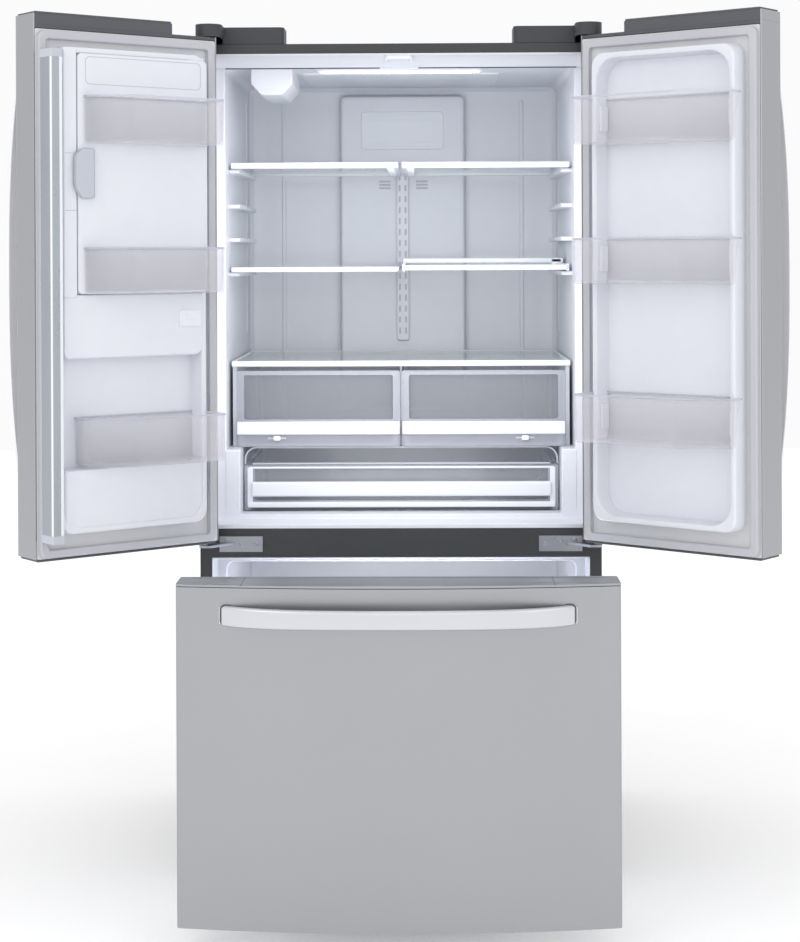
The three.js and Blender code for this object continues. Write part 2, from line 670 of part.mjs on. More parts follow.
/** The ice maker's mould and its motor box, hung in the top of the ice compartment. */
function iceMaker(side) {
  const mould = fillet([at(-44, 1560), at(10, 1560), at(10, 1620), at(-44, 1620)], [24, 24, 0, 0]);
  const profile = mould.map((p) => at(depth(p.x), p.y));
  return join(
    prismX(profile, [across(side, 120), across(side, 322)]),
    doorBlock(side, [ICE.near + GAP, 121], [-50, 18], [1540, ICE.high - GAP]),
    doorBlock(side, [120, ICE.far - GAP], [-50, -40], [1610, 1660]),
  );
}

/** The insulated cover of the ice compartment, on two pins. */
function iceDoor(side) {
  const { near, far, low, high, inner, outer } = ICE_DOOR;
  const plate = doorPrism(side, fillet(rectangle([near, far], [inner, outer]), [0, 0, 4, 4], 2),
    [low, high]);
  const pin = [across(side, ICE_HINGE.across), depth(ICE_HINGE.depth), ICE_HINGE.pin];
  return join(plate, post(...pin, [low - 6, high + 6], 8));
}

function iceDoorLatch(side) {
  const { near, far } = LATCH;
  const plan = [at(near, 45.3), at(far, 45.3), at(far, 50), at(far - 8, 58), at(near + 8, 58),
    at(near, 52)];
  return doorPrism(side, plan, LATCH.heights);
}

/** The folding bar that closes the gap between the doors, drawn folded against the left door. */
function mullionBar(side) {
  const { half, front, back, low, high, pivotX, pivotY } = MULLION;
  const bridging = [
    at(-half + 4, front), at(half, front), at(half, back), at(-half, back), at(-half, front + 3.5),
  ];
  const centre = at(pivotX, pivotY);
  const folded = bridging.map((p) => p.clone().rotateAround(centre, Math.PI / 2));
  const closedDoor = { x: -CASE.half, y: -12 };
  const plan = folded.map((p) => at(p.x - closedDoor.x, p.y - closedDoor.y));
  return doorPrism(side, plan, [low, high]);
}

/** The pieces that both doors have. */
function commonDoorPieces(group, side, label) {
  piece(group, `${label}_door_shell`, doorShell(side), steel());
  piece(group, `${label}_door_gasket`, doorGasket(side), greyRubber());
  piece(group, `${label}_door_top_cap`, doorTopCap(side), darkPlastic());
  piece(group, `${label}_door_handle`, doorHandle(side), steel());
}

/** Hangs a door on its hinge axis, swung open. */
function hang(group, side) {
  group.position.set(side * HINGE.x, HINGE.y, 0);
  group.rotation.z = side * DOOR_OPEN;
  return group;
}

function leftDoor() {
  const side = -1;
  const group = new THREE.Group();
  commonDoorPieces(group, side, 'left');
  piece(group, 'left_door_liner', leftDoorLiner(side), liner());
  piece(group, 'left_basket_bottom', basket(side, basketPlan(2, BASKET.farLeft, true), LEFT_BASKETS.bottom),
    clearPlastic());
  piece(group, 'dispenser_housing', dispenserHousing(side), blackPlastic());
  piece(group, 'dispenser_lever', dispenserLever(side), darkPlastic());
  const binPlan = doorOutline(side, rectangle([ICE.near + 5, ICE.far - 5], [-51, 28]));
  piece(group, 'ice_bin', bin(binPlan, [ICE.low + GAP, 1470]), clearPlastic());
  piece(group, 'ice_maker', iceMaker(side), whitePlastic());
  piece(group, 'ice_door', iceDoor(side), liner());
  for (const label of ['top', 'middle']) {
    const plan = basketPlan(ICE_DOOR.outer + 0.4, BASKET.farLeft, false);
    const body = basket(side, plan, LEFT_BASKETS[label]);
    piece(group, `left_basket_${label}`, body, clearPlastic());
  }
  piece(group, 'ice_door_latch', iceDoorLatch(side), greyPlastic());
  piece(group, 'mullion_bar', mullionBar(side), whitePlastic());
  return hang(group, side);
}

function rightDoor() {
  const side = 1;
  const group = new THREE.Group();
  commonDoorPieces(group, side, 'right');
  piece(group, 'right_door_liner', rightDoorLiner(side), liner());
  for (const [label, heights] of Object.entries(RIGHT_BASKETS)) {
    const plan = basketPlan(2, BASKET.farRight, true);
    piece(group, `right_basket_${label}`, basket(side, plan, heights), clearPlastic());
  }
  return hang(group, side);
}

// ---------------------------------------------------------------- freezer drawer

/** The plan of the drawer's front: flat at the back, one long bow at the front. */
function drawerPlan(margin = 0) {
  const half = DRAWER.half - margin;
  const level = DRAWER.back - DRAWER.edge + margin;
  return slabPlan(-half, half, DRAWER.back, level, DRAWER.bow, 9 - margin, 20);
}

function drawerShell() {
  const half = DRAWER.half - SHEET;
  const heights = [DRAWER.low - 1, DRAWER.high + 1];
  const mouth = block([-half, half], [DRAWER.back - 1, DRAWER.back + 1], heights);
  const skin = prismZ(drawerPlan(), [DRAWER.low, DRAWER.high]);
  return cut(skin, prismZ(drawerPlan(SHEET), heights), mouth);
}

function drawerGasket() {
  const ring = block([-398, 398], [DRAWER.back + GAP, -0.8], [57, 683]);
  return cut(ring, block([-376, 376], [-20, 20], [79, 661]));
}

/** The wide strap handle across the top of the drawer. */
function drawerHandle() {
  const half = 332;
  const outer = bowed(-half, half, -108, 59, 20);
  const inner = bowed(-half + 26, half - 26, -106, 46, 20).reverse();
  const ends = [at(half, -96), at(half - 26, -96)];
  const other = [at(-half + 26, -96), at(-half, -96)];
  const strap = prismZ([...outer, ...ends, ...inner, ...other], [613, 652.5]);
  const slant = prismY([at(-318, 612), at(318, 612), at(half + 1, 654), at(-half - 1, 654)],
    [-200, 0]);
  return cut(strap.intersect(slant), prismZ(inset(drawerPlan(), -GAP), [600, 670]));
}

/** The steel arms that run on the liner's ledges, with their front plate and rear tie. */
function drawerCarriage() {
  const heights = [LEDGE.top + GAP, 412];
  const plate = block([-364, 364], [DRAWER.back + GAP, -7.7], [330, 412]);
  const tie = block([-364, 364], [470, 480], heights);
  const arms = SIDES.map(({ side }) => block(onSide(side, 340, 364), [-8, 480], heights));
  return join(plate, tie, ...arms);
}

/** The deep bin that hangs by its rim between the arms. */
function freezerBin() {
  const body = join(
    prismZ(fillet(rectangle([-328, 328], [10, 455]), 20), [105, 416]),
    prismZ(fillet(rectangle([-352, 352], [2, 462]), 12), [412.3, 420]),
  );
  return cut(body, prismZ(fillet(rectangle([-325, 325], [13, 452]), 17), [108, 430]));
}

function freezerDrawer() {
  const group = new THREE.Group();
  piece(group, 'freezer_front_shell', drawerShell(), steel());
  piece(group, 'freezer_front_liner',
    prismZ(drawerPlan(SHEET + GAP), [DRAWER.low, DRAWER.high]), whitePlastic());
  piece(group, 'freezer_gasket', drawerGasket(), greyRubber());
  piece(group, 'freezer_handle', drawerHandle(), steel());
  piece(group, 'freezer_carriage', drawerCarriage(), zinc());
  piece(group, 'freezer_bin', freezerBin(), clearPlastic());
  const trayPlan = fillet(rectangle([-336, 336], [200, 450]), 12);
  piece(group, 'freezer_tray', bin(trayPlan, [420.3, 560]), clearPlastic());
  group.position.y = -DRAWER.open;
  return group;
}

// ---------------------------------------------------------------- the whole refrigerator

const refrigerator = new THREE.Group();
refrigerator.add(cabinet(), leftDoor(), rightDoor(), freezerDrawer());
const extent = new THREE.Box3().setFromObject(refrigerator, true);
refrigerator.position.y = -(extent.min.y + extent.max.y) / 2;

export default refrigerator;
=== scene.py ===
"""A french door refrigerator with its doors open and its freezer drawer pulled out."""

import json
import logging
import math
from dataclasses import dataclass, field
from enum import Enum
from typing import NamedTuple, Sequence

import bmesh
import bpy
from mathutils import Matrix, Vector


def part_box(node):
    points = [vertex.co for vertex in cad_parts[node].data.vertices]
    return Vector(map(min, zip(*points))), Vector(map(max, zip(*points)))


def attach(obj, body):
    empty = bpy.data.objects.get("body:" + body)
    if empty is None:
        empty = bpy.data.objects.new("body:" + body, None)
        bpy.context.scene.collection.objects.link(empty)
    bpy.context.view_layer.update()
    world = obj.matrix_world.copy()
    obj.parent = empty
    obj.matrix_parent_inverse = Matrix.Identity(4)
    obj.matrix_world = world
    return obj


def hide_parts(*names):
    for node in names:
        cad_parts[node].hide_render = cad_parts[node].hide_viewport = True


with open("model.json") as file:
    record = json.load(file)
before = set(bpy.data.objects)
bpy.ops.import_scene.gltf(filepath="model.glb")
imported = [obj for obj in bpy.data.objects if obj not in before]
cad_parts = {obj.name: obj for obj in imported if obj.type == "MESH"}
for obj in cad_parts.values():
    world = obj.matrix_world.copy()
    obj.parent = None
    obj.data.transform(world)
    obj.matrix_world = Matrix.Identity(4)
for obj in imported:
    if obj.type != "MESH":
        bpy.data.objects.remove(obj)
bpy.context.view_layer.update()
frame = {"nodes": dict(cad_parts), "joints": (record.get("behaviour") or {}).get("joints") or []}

log = logging.getLogger("refrigerator")

MM = 0.001

# Where a door's hinge pin stands, in millimetres: in from the hinged edge, and out from the inner face.
PIN_FROM_EDGE = 14.0
PIN_FROM_FACE = 30.7
# Faces that turn by more than this meet in a sharp edge, in degrees.
SHARP = 32.0
# Where the drawers' clear fronts stand, in millimetres behind the cabinet's front plane.
WINDOW_FRONT = 124.3

Point = tuple[float, float, float]
Flat = list[tuple[float, float]]
Loop = list[Point]
Span = tuple[float, float, float, float]


# ---------------------------------------------------------------- measuring


def grown(span: Sequence[float], d: float) -> Span:
    """Returns a span with each side moved outwards by d."""
    return (span[0] - d, span[1] + d, span[2] - d, span[3] + d)


class Box(NamedTuple):
    """The span of a part in its own frame, in millimetres."""

    x0: float
    x1: float
    y0: float
    y1: float
    z0: float
    z1: float

    def span(self, axis: str, inset: float = 0.0) -> Span:
        """Returns the span square to an axis, with each side moved inwards by inset."""
        sides = [pair for name, pair in zip("xyz", (self[:2], self[2:4], self[4:])) if name != axis]
        return grown((*sides[0], *sides[1]), -inset)


@dataclass(frozen=True)
class Datum:
    """A working frame in millimetres that a sub-assembly is drawn in.

    Attributes:
        rigid: Where the sub-assembly's own axes lie in the row frame.
        local: Millimetres of the working frame to metres on those axes.
    """

    rigid: Matrix
    local: Matrix

    def box(self, *nodes: str) -> Box:
        """Measures CAD nodes in this frame.

        Args:
            nodes: The names of the nodes.

        Returns:
            Their common box, in millimetres.
        """
        back = (self.rigid @ self.local).inverted()
        points = [back @ v.co for n in nodes for v in frame["nodes"][n].data.vertices]
        lows = [min(p[i] for p in points) for i in range(3)]
        highs = [max(p[i] for p in points) for i in range(3)]
        return Box(lows[0], highs[0], lows[1], highs[1], lows[2], highs[2])


def cabinet_datum() -> Datum:
    """Returns the frame with x across, y in from the cabinet's front plane and z up."""
    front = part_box("outer_case")[0].y
    return Datum(Matrix.Identity(4), Matrix.Translation((0, front, 0)) @ Matrix.Scale(MM, 4))


def door_datum(side: int) -> Datum:
    """Makes a door's frame: x from the hinged edge, y in from the inner face, z up.

    Args:
        side: -1 for the left door, 1 for the right door.

    Returns:
        The frame of the door where it stands open.
    """
    name = "left_door_hinge" if side < 0 else "right_door_hinge"
    joint = next(j for j in frame["joints"] if j["name"] == name)
    swing = math.radians(-joint["range_deg"][0]) * side
    pivot = Vector((joint["pos_m"][0], joint["pos_m"][1], 0))
    rigid = Matrix.Translation(pivot) @ Matrix.Rotation(swing, 4, "Z")
    flip = Matrix.Diagonal((-side, 1, 1, 1))
    local = flip @ Matrix.Translation((-PIN_FROM_EDGE * MM, PIN_FROM_FACE * MM, 0)) @ Matrix.Scale(MM, 4)
    return Datum(rigid, local)


# ---------------------------------------------------------------- drawing


def loop(axis: str, level: float, span: Sequence[float], radii: float | Sequence[float] = 0.0,
         steps: int = 5) -> Loop:
    """Draws a rectangle with rounded corners in a plane square to an axis.

    Args:
        axis: The axis that the plane is square to: "x", "y" or "z".
        level: Where the plane lies on that axis.
        span: Low u, high u, low v, high v; u and v are the other two axes in order.
        radii: One radius, or four from low-low round through high-low.
        steps: Segments in each corner.

    Returns:
        The points, four corners of steps + 1 points each.
    """
    u0, u1, v0, v1 = span
    four = [radii] * 4 if isinstance(radii, (int, float)) else list(radii)
    limit = min(u1 - u0, v1 - v0) / 2 * 0.999
    corners = [(u0, v0, 180), (u1, v0, 270), (u1, v1, 0), (u0, v1, 90)]
    flat = []
    for (u, v, start), radius in zip(corners, four):
        r = max(min(radius, limit), 0.01)
        cu = u + r if u == u0 else u - r
        cv = v + r if v == v0 else v - r
        for k in range(steps + 1):
            angle = math.radians(start + 90 * k / steps)
            flat.append((cu + r * math.cos(angle), cv + r * math.sin(angle)))
    return lift(axis, level, flat)


def lift(axis: str, level: float, flat: Sequence[tuple[float, float]]) -> Loop:
    """Stands flat points in a plane square to an axis.

    Args:
        axis: "x", "y" or "z".
        level: Where the plane lies on that axis.
        flat: The points' other two coordinates, in axis order.

    Returns:
        The points in space.
    """
    index = "xyz".index(axis)
    return [(*point[:index], level, *point[index:]) for point in flat]


def bowed(sides: tuple[float, float], back: float, face: float, bow: float, corner: tuple[float, float],
          count: int) -> Flat:
    """Draws a front's plan: square at the back, rounded at the front corners and bowed between them.

    Args:
        sides: Its low and high x.
        back: The level of its inner face.
        face: The level of its front at the corners.
        bow: How far its middle stands further out.
        corner: The radius of a front corner, and the degrees that it turns through.
        count: Segments along the bow.

    Returns:
        The outline in x and y.
    """
    (x0, x1), (radius, turn) = sides, corner
    front = []
    for k in range(1, count):
        t = k / count
        front.append((x0 + radius + (x1 - x0 - 2 * radius) * t, face - bow * (1 - (2 * t - 1) ** 2) - 0.6))
    rounds = []
    for centre, start in ((x0 + radius, 180), (x1 - radius, 360 - turn)):
        angles = [math.radians(start + turn * k / 5) for k in range(6)]
        level = face + radius - 1
        rounds.append([(centre + radius * math.cos(a), level + radius * math.sin(a)) for a in angles])
    return [(x1, back), (x0, back), *rounds[0], *front, *rounds[1]]


def ring(axis: str, level: float, centre: tuple[float, float], radius: float, count: int = 24) -> Loop:
    """Draws a circle in a plane square to an axis.

    Args:
        axis: "x", "y" or "z".
        level: Where the plane lies on that axis.
        centre: The circle's middle in the other two axes.
        radius: Its radius.
        count: How many points it has.

    Returns:
        The points.
    """
    turns = [math.tau * k / count for k in range(count)]
    flat = [(centre[0] + radius * math.cos(a), centre[1] + radius * math.sin(a)) for a in turns]
    return lift(axis, level, flat)


class Solid:
    """Closed bodies gathered into one mesh, in a datum's millimetres."""

    def __init__(self) -> None:
        """Starts with nothing in it."""
        self.bm = bmesh.new()

    def loft(self, loops: Sequence[Loop], closed: bool = False) -> "Solid":
        """Skins a body through loops that have the same number of points.

        Args:
            loops: The sections, in order.
            closed: True joins the last to the first; otherwise both ends are capped.

        Returns:
            This solid.
        """
        rows = [[self.bm.verts.new(p) for p in one] for one in loops]
        pairs = list(zip(rows, rows[1:] + rows[:1])) if closed else list(zip(rows, rows[1:]))
        faces = []
        for a, b in pairs:
            count = len(a)
            for k in range(count):
                faces.append(self.bm.faces.new((a[k], a[(k + 1) % count], b[(k + 1) % count], b[k])))
        if not closed:
            faces.append(self.bm.faces.new(rows[0]))
            faces.append(self.bm.faces.new(rows[-1]))
        bmesh.ops.recalc_face_normals(self.bm, faces=faces)
        return self

    def box(self, b: Sequence[float], radius: float = 0.0, axis: str = "z", steps: int = 4) -> "Solid":
        """Adds a block, rounded along one axis.

        Args:
            b: Low and high x, y and z.
            radius: The radius of the four edges that run along the axis.
            axis: That axis.
            steps: Segments in each rounded edge.

        Returns:
            This solid.
        """
        x0, x1, y0, y1, z0, z1 = b
        span = Box(*b).span(axis)
        low, high = {"x": (x0, x1), "y": (y0, y1), "z": (z0, z1)}[axis]
        if radius <= 0:
            u0, u1, v0, v1 = span
            flat = [(u0, v0), (u1, v0), (u1, v1), (u0, v1)]
            return self.loft([lift(axis, low, flat), lift(axis, high, flat)])
        return self.loft([loop(axis, low, span, radius, steps), loop(axis, high, span, radius, steps)])

    def extrude(self, axis: str, flat: Sequence[tuple[float, float]], low: float, high: float) -> "Solid":
        """Pulls a flat outline along an axis.

        Args:
            axis: "x", "y" or "z".
            flat: The outline in the other two axes, in axis order.
            low: Where the body starts.
            high: Where it ends.

        Returns:
            This solid.
        """
        return self.loft([lift(axis, low, flat), lift(axis, high, flat)])

    def rod(self, axis: str, centre: tuple[float, float], radius: float, low: float, high: float,
            count: int = 24) -> "Solid":
        """Adds a round rod with chamfered ends.

        Args:
            axis: The way it runs.
            centre: Its middle in the other two axes.
            radius: Its radius.
            low: Where it starts.
            high: Where it ends.
            count: How many sides it has.

        Returns:
            This solid.
        """
        edge = min(radius * 0.2, abs(high - low) * 0.2)
        steps = [(low, radius - edge), (low + edge, radius), (high - edge, radius), (high, radius - edge)]
        return self.loft([ring(axis, level, centre, r, count) for level, r in steps])

    def frame(self, axis: str, outer: Sequence[float], inner: Sequence[float], low: float, high: float,
              radii: tuple[float, float] = (0.0, 0.0), steps: int = 4) -> "Solid":
        """Adds a flat frame with a window in it.

        Args:
            axis: The axis that it is square to.
            outer: The outer span, as loop takes it.
            inner: The window's span.
            low: Its lowest level.
            high: Its highest level.
            radii: The outer and the inner corner radius.
            steps: Segments in each corner.

        Returns:
            This solid.
        """
        loops = [
            loop(axis, low, outer, radii[0], steps),
            loop(axis, high, outer, radii[0], steps),
            loop(axis, high, inner, radii[1], steps),
            loop(axis, low, inner, radii[1], steps),
        ]
        return self.loft(loops, closed=True)

    def bar(self, axis: str, low: float, high: float, ease: float, spans: Sequence[Sequence[float]],
            radii: tuple[float, float]) -> "Solid":
        """Adds a bar whose section shrinks at both ends.

        Args:
            axis: The way it runs.
            low: Where it starts.
            high: Where it ends.
            ease: How long each shrinking end is.
            spans: The section at the ends and the section between them.
            radii: The corner radius of each.

        Returns:
            This solid.
        """
        levels = ((low, 0), (low + ease, 1), (high - ease, 1), (high, 0))
        return self.loft([loop(axis, level, spans[k], radii[k], 4) for level, k in levels])

    def tube(self, path: Sequence[Point], radius: float, count: int = 12) -> "Solid":
        """Bends a round tube along a path.

        Args:
            path: The points that it follows.
            radius: Its radius.
            count: How many sides it has.

        Returns:
            This solid.
        """
        points = [Vector(p) for p in path]
        side = None
        loops = []
        for k, p in enumerate(points):
            ahead = (points[min(k + 1, len(points) - 1)] - points[max(k - 1, 0)]).normalized()
            if side is None:
                side = ahead.orthogonal().normalized()
            side = (side - ahead * side.dot(ahead)).normalized()
            other = ahead.cross(side)
            turns = [math.tau * n / count for n in range(count)]
            loops.append([tuple(p + (side * math.cos(a) + other * math.sin(a)) * radius) for a in turns])
        return self.loft(loops)

    def cad(self, datum: Datum, *nodes: str) -> "Solid":
        """Takes CAD nodes' own shapes, with their flat faces made whole again.

        Args:
            datum: The frame to draw them in.
            nodes: The names of the nodes.

        Returns:
            This solid.
        """
        back = (datum.rigid @ datum.local).inverted()
        for name in nodes:
            mesh = frame["nodes"][name].data.copy()
            mesh.transform(back)
            self.bm.from_mesh(mesh)
            bpy.data.meshes.remove(mesh)
        bmesh.ops.remove_doubles(self.bm, verts=self.bm.verts[:], dist=0.005)
        bmesh.ops.dissolve_limit(self.bm, angle_limit=math.radians(1.5), verts=self.bm.verts[:],
                                 edges=self.bm.edges[:])
        bmesh.ops.recalc_face_normals(self.bm, faces=self.bm.faces[:])
        return self

    def screw(self, axis: str, at: Point, radius: float = 4.5, out: float = -1.0) -> "Solid":
        """Adds a pan-head screw with a hexagon socket in it.

        Args:
            axis: The way it points.
            at: The middle of the face that it is driven into.
            radius: The head's radius.
            out: 1 or -1, the way that its head faces along the axis.

        Returns:
            This solid.
        """
        index = "xyz".index(axis)
        level = at[index]
        centre = tuple(v for k, v in enumerate(at) if k != index)
        shares = [(0.3, 1.0), (0.5, 0.72), (0.5, 0.42), (0.15, 0.42)]
        steps = [(-0.5, radius), *((radius * up, radius * wide) for up, wide in shares)]
        return self.loft([ring(axis, level + out * up, centre, r, 18) for up, r in steps])


# ---------------------------------------------------------------- finishes


class Grain(Enum):
    """The way that a brushed surface's lines run."""

    ACROSS = "x"
    UPRIGHT = "z"


def linear(code: str) -> tuple[float, float, float, float]:
    """Turns an sRGB hex colour into a linear one.

    Args:
        code: Six hex digits after a hash.

    Returns:
        Red, green, blue and alpha.
    """
    parts = [int(code[k : k + 2], 16) / 255 for k in (1, 3, 5)]
    return tuple(c / 12.92 if c <= 0.04045 else ((c + 0.055) / 1.055) ** 2.4 for c in parts) + (1.0,)


def add(tree: bpy.types.NodeTree, kind: str, inputs: dict | None = None,
        **settings: object) -> bpy.types.Node:
    """Adds a shader node.

    Args:
        tree: The tree that it goes in.
        kind: The node's type without the ShaderNode prefix.
        inputs: A value, or an output socket to link, for each input's name or index.
        settings: The node's own settings.

    Returns:
        The node.
    """
    node = tree.nodes.new("ShaderNode" + kind)
    for name, value in settings.items():
        setattr(node, name, value)
    for name, value in (inputs or {}).items():
        if isinstance(value, bpy.types.NodeSocket):
            tree.links.new(value, node.inputs[name])
        else:
            node.inputs[name].default_value = value
    return node


@dataclass(frozen=True)
class Finish:
    """A surface finish: what every finish here has in common.

    Attributes:
        name: The material's name.
        slot: The record's material slot that it matches; not used.
        colour: Its colour, as sRGB hex.
        roughness: Its mean roughness.
        spread: How far the roughness wanders either way.
        fleck: How far the colour wanders, from 0 to 1.
        grit: The size of the surface's texture, in millimetres.
        depth: The height of that texture, in millimetres.
    """

    name: str
    slot: str
    colour: str
    roughness: float = 0.4
    spread: float = 0.05
    fleck: float = 0.03
    grit: float = 1.2
    depth: float = 0.02

    def scale(self) -> tuple[float, float, float]:
        """Returns how many texture cells fit in a metre each way."""
        cells = 1000 / self.grit
        return (cells, cells, cells)

    def settings(self) -> dict:
        """Returns the shader's constant sockets."""
        return {}

    def material(self) -> bpy.types.Material:
        """Returns the material, made once."""
        found = bpy.data.materials.get(self.name)
        return found or self.mix()

    def mix(self) -> bpy.types.Material:
        """Returns a new material: a grain that moves the colour, the roughness and the height."""
        material = bpy.data.materials.new(self.name)
        material.use_nodes = True
        tree = material.node_tree
        tree.nodes.clear()
        place = add(tree, "TexCoord")
        stretch = add(tree, "Mapping", {"Vector": place.outputs["Object"], "Scale": self.scale()})
        grain = add(tree, "TexNoise", {"Vector": stretch.outputs[0], "Scale": 1.0, "Detail": 3.0,
                                       "Roughness": 0.55})
        broad = add(tree, "TexNoise", {"Vector": place.outputs["Object"], "Scale": 5.0, "Detail": 2.0})
        both = add(tree, "Math", {0: grain.outputs[0], 1: broad.outputs[0]}, operation="ADD")
        rough = add(tree, "MapRange", {"Value": both.outputs[0], "From Min": 0.7, "From Max": 1.3,
                                       "To Min": self.roughness - self.spread,
                                       "To Max": self.roughness + self.spread})
        base = linear(self.colour)
        dark = tuple(c * (1 - self.fleck) for c in base[:3]) + (1.0,)
        light = tuple(min(1.0, c * (1 + self.fleck)) for c in base[:3]) + (1.0,)
        amount = add(tree, "MapRange", {"Value": both.outputs[0], "From Min": 0.7, "From Max": 1.3})
        tint = add(tree, "Mix", {0: amount.outputs[0], 6: dark, 7: light}, data_type="RGBA")
        bump = add(tree, "Bump", {"Height": grain.outputs[0], "Strength": 1.0, "Distance": self.depth * MM})
        shader = add(tree, "BsdfPrincipled", {"Base Color": tint.outputs[2], "Roughness": rough.outputs[0],
                                              "Normal": bump.outputs[0], **self.settings()})
        self.extra(tree, shader)
        add(tree, "OutputMaterial", {"Surface": shader.outputs[0]})
        return material

    def extra(self, tree: bpy.types.NodeTree, shader: bpy.types.Node) -> None:
        """Adds what a finish has beyond its grain.

        Args:
            tree: The material's tree.
            shader: Its Principled shader.
        """


@dataclass(frozen=True)
class BrushedMetal(Finish):
    """Rolled stainless steel sheet, brushed one way: soft reflections drawn out across the lines.

    Attributes:
        grain: The way that its lines run.
        metallic: How much of its light a bare metal gives back; a diffuse colour takes the rest, and on the
            pale strap that diffuse colour is a painted reflection.
        line: The length of a brushed line, in millimetres.
    """

    grain: Grain = Grain.ACROSS
    metallic: float = 1.0
    line: float = 70.0

    def scale(self) -> tuple[float, float, float]:
        """Returns cells as fine as the grit across the lines and long along them; real lines are finer."""
        fine, long = 1000 / self.grit, 1000 / self.line
        return (long, fine, fine) if self.grain is Grain.ACROSS else (fine, fine, long)

    def settings(self) -> dict:
        """Returns the metal's constant sockets."""
        return {"Metallic": self.metallic}


@dataclass(frozen=True)
class Metal(Finish):
    """Plated or cast metal, bright with a fine uneven skin."""

    def settings(self) -> dict:
        """Returns the metal's constant sockets."""
        return {"Metallic": 1.0}


@dataclass(frozen=True)
class Plastic(Finish):
    """Moulded or vacuum-formed plastic, or paint: a dielectric skin with a faint texture."""

    coat: float = 0.0
    glow: float = 0.0

    def settings(self) -> dict:
        """Returns the plastic's constant sockets."""
        lit = {"Emission Color": linear(self.colour), "Emission Strength": self.glow} if self.glow else {}
        return {"IOR": 1.49, "Coat Weight": self.coat, "Coat Roughness": 0.12, **lit}


@dataclass(frozen=True)
class Clear(Finish):
    """A clear moulding or sheet: nearly gone face on, and milky where it is seen edge on.

    Attributes:
        body: How much of the surface covers what is behind it, face on.
        edge: How much it covers at a grazing angle.
    """

    body: float = 0.16
    edge: float = 0.75

    def settings(self) -> dict:
        """Returns the clear plastic's constant sockets."""
        return {"IOR": 1.52, "Specular IOR Level": 0.5}

    def extra(self, tree: bpy.types.NodeTree, shader: bpy.types.Node) -> None:
        """Lets light through, less so at a grazing angle.

        Args:
            tree: The material's tree.
            shader: Its Principled shader.
        """
        facing = add(tree, "LayerWeight", {"Blend": 0.35})
        cover = add(tree, "MapRange", {"Value": facing.outputs["Facing"], "To Min": self.body,
                                       "To Max": self.edge})
        tree.links.new(cover.outputs[0], shader.inputs["Alpha"])


# Satin stainless sheet, brushed across and lacquered: grey, with reflections blurred into bands.
STEEL = BrushedMetal("brushed_stainless", "stainless", "#ABACAF", 0.34, 0.04, 0.02, 0.6, 0.006)
# Stainless strip with upright lines, brighter than the panels: a painted reflection of the bright room,
# carried by a pale colour and little metal so that its diffuse part shows bright.
BRIGHT_STEEL_PAINTED_REFLECTION = BrushedMetal("stainless_strap_painted_reflection", "stainless", "#F4F4F6", 0.4, 0.03, 0.015, 0.6, 0.004,
                           Grain.UPRIGHT, 0.35)
# The drawer's bar in stainless polished after brushing, with lines across: a little darker than the door
# strap, shinier, and mostly metal.
STEEL_BAR = BrushedMetal("polished_stainless_bar", "stainless", "#D2D3D7", 0.3, 0.03, 0.015, 0.6, 0.004,
                         Grain.ACROSS, 0.8)
# Pre-painted steel sheet, dark grey with a slight orange peel.
CASE_PAINT = Plastic("dark_prepainted_steel", "case_paint", "#37383A", 0.42, 0.05, 0.04, 2.4, 0.05)
# Zinc-plated pressed steel: pale grey, cloudy and a little dull.
ZINC = Metal("zinc_plated_steel", "zinc_steel", "#A9AEB4", 0.36, 0.1, 0.06, 4.0, 0.02)
# Galvanised pan: larger, flatter spangles.
GALVANISED = Metal("galvanised_sheet", "zinc_steel", "#9A9FA4", 0.45, 0.1, 0.12, 9.0, 0.02)
# Rigid polyurethane foam, poured: matt, yellowed and pitted.
FOAM = Plastic("poured_urethane_foam", "foam", "#D8C9A0", 0.85, 0.08, 0.12, 1.6, 0.4)
# Vacuum-formed high-impact polystyrene: cool white, soft gloss, a slight waviness from the mould.
LINER = Plastic("vacuum_formed_polystyrene", "liner", "#E1E3EA", 0.34, 0.04, 0.012, 30.0, 0.03, 0.1)
# The same sheet on the doors, a shade greyer on the flange round it.
FLANGE = Plastic("flange_polystyrene", "liner", "#D3D3D5", 0.42, 0.05, 0.015, 30.0, 0.03)
# Injection-moulded ABS, bright white, fine spark-eroded texture.
WHITE_ABS = Plastic("moulded_white_abs", "white_plastic", "#E9EBF1", 0.38, 0.04, 0.012, 0.8, 0.01)
# The same ABS with a clear coat on the shelves' trims and the drawers' bands, which gleam.
BAND_ABS = Plastic("moulded_band_abs", "white_plastic", "#E6E9EF", 0.3, 0.04, 0.01, 0.8, 0.01, 0.2)
# Light grey ABS: latches, seals' carriers and small trims.
GREY_ABS = Plastic("moulded_grey_abs", "grey_plastic", "#BDC1CA", 0.4, 0.05, 0.02, 0.8, 0.01)
# Dark grey polypropylene with a leather-like mould texture: door caps and trims.
DARK_PP = Plastic("textured_dark_polypropylene", "dark_plastic", "#54555A", 0.5, 0.05, 0.06, 0.9, 0.05)
# The same polypropylene, darker: the hinge covers.
COVER_PP = Plastic("textured_black_grey_polypropylene", "dark_plastic", "#3B3C40", 0.5, 0.05, 0.06, 0.9, 0.05)
# Black gloss ABS: control panels and pockets.
BLACK_ABS = Plastic("gloss_black_abs", "black_plastic", "#17181B", 0.22, 0.04, 0.05, 1.0, 0.008, 0.4)
# Soft PVC seal with a fine matt skin.
GASKET = Plastic("soft_pvc_seal", "gasket_rubber", "#BFC0C5", 0.55, 0.05, 0.03, 0.7, 0.02)
# Frosted diffuser over white light-emitting diodes.
DIFFUSER = Plastic("lit_frosted_diffuser", "white_plastic", "#F6F9FF", 0.35, 0.03, 0.01, 0.6, 0.01, 0.0, 14.0)
# Compressor shell in black stove enamel.
ENAMEL = Plastic("black_stove_enamel", "black_plastic", "#1D1E20", 0.3, 0.08, 0.1, 3.0, 0.05, 0.3)
# Drawn copper tube, slightly tarnished.
COPPER = Metal("drawn_copper", "zinc_steel", "#B5734E", 0.34, 0.1, 0.12, 5.0, 0.02)
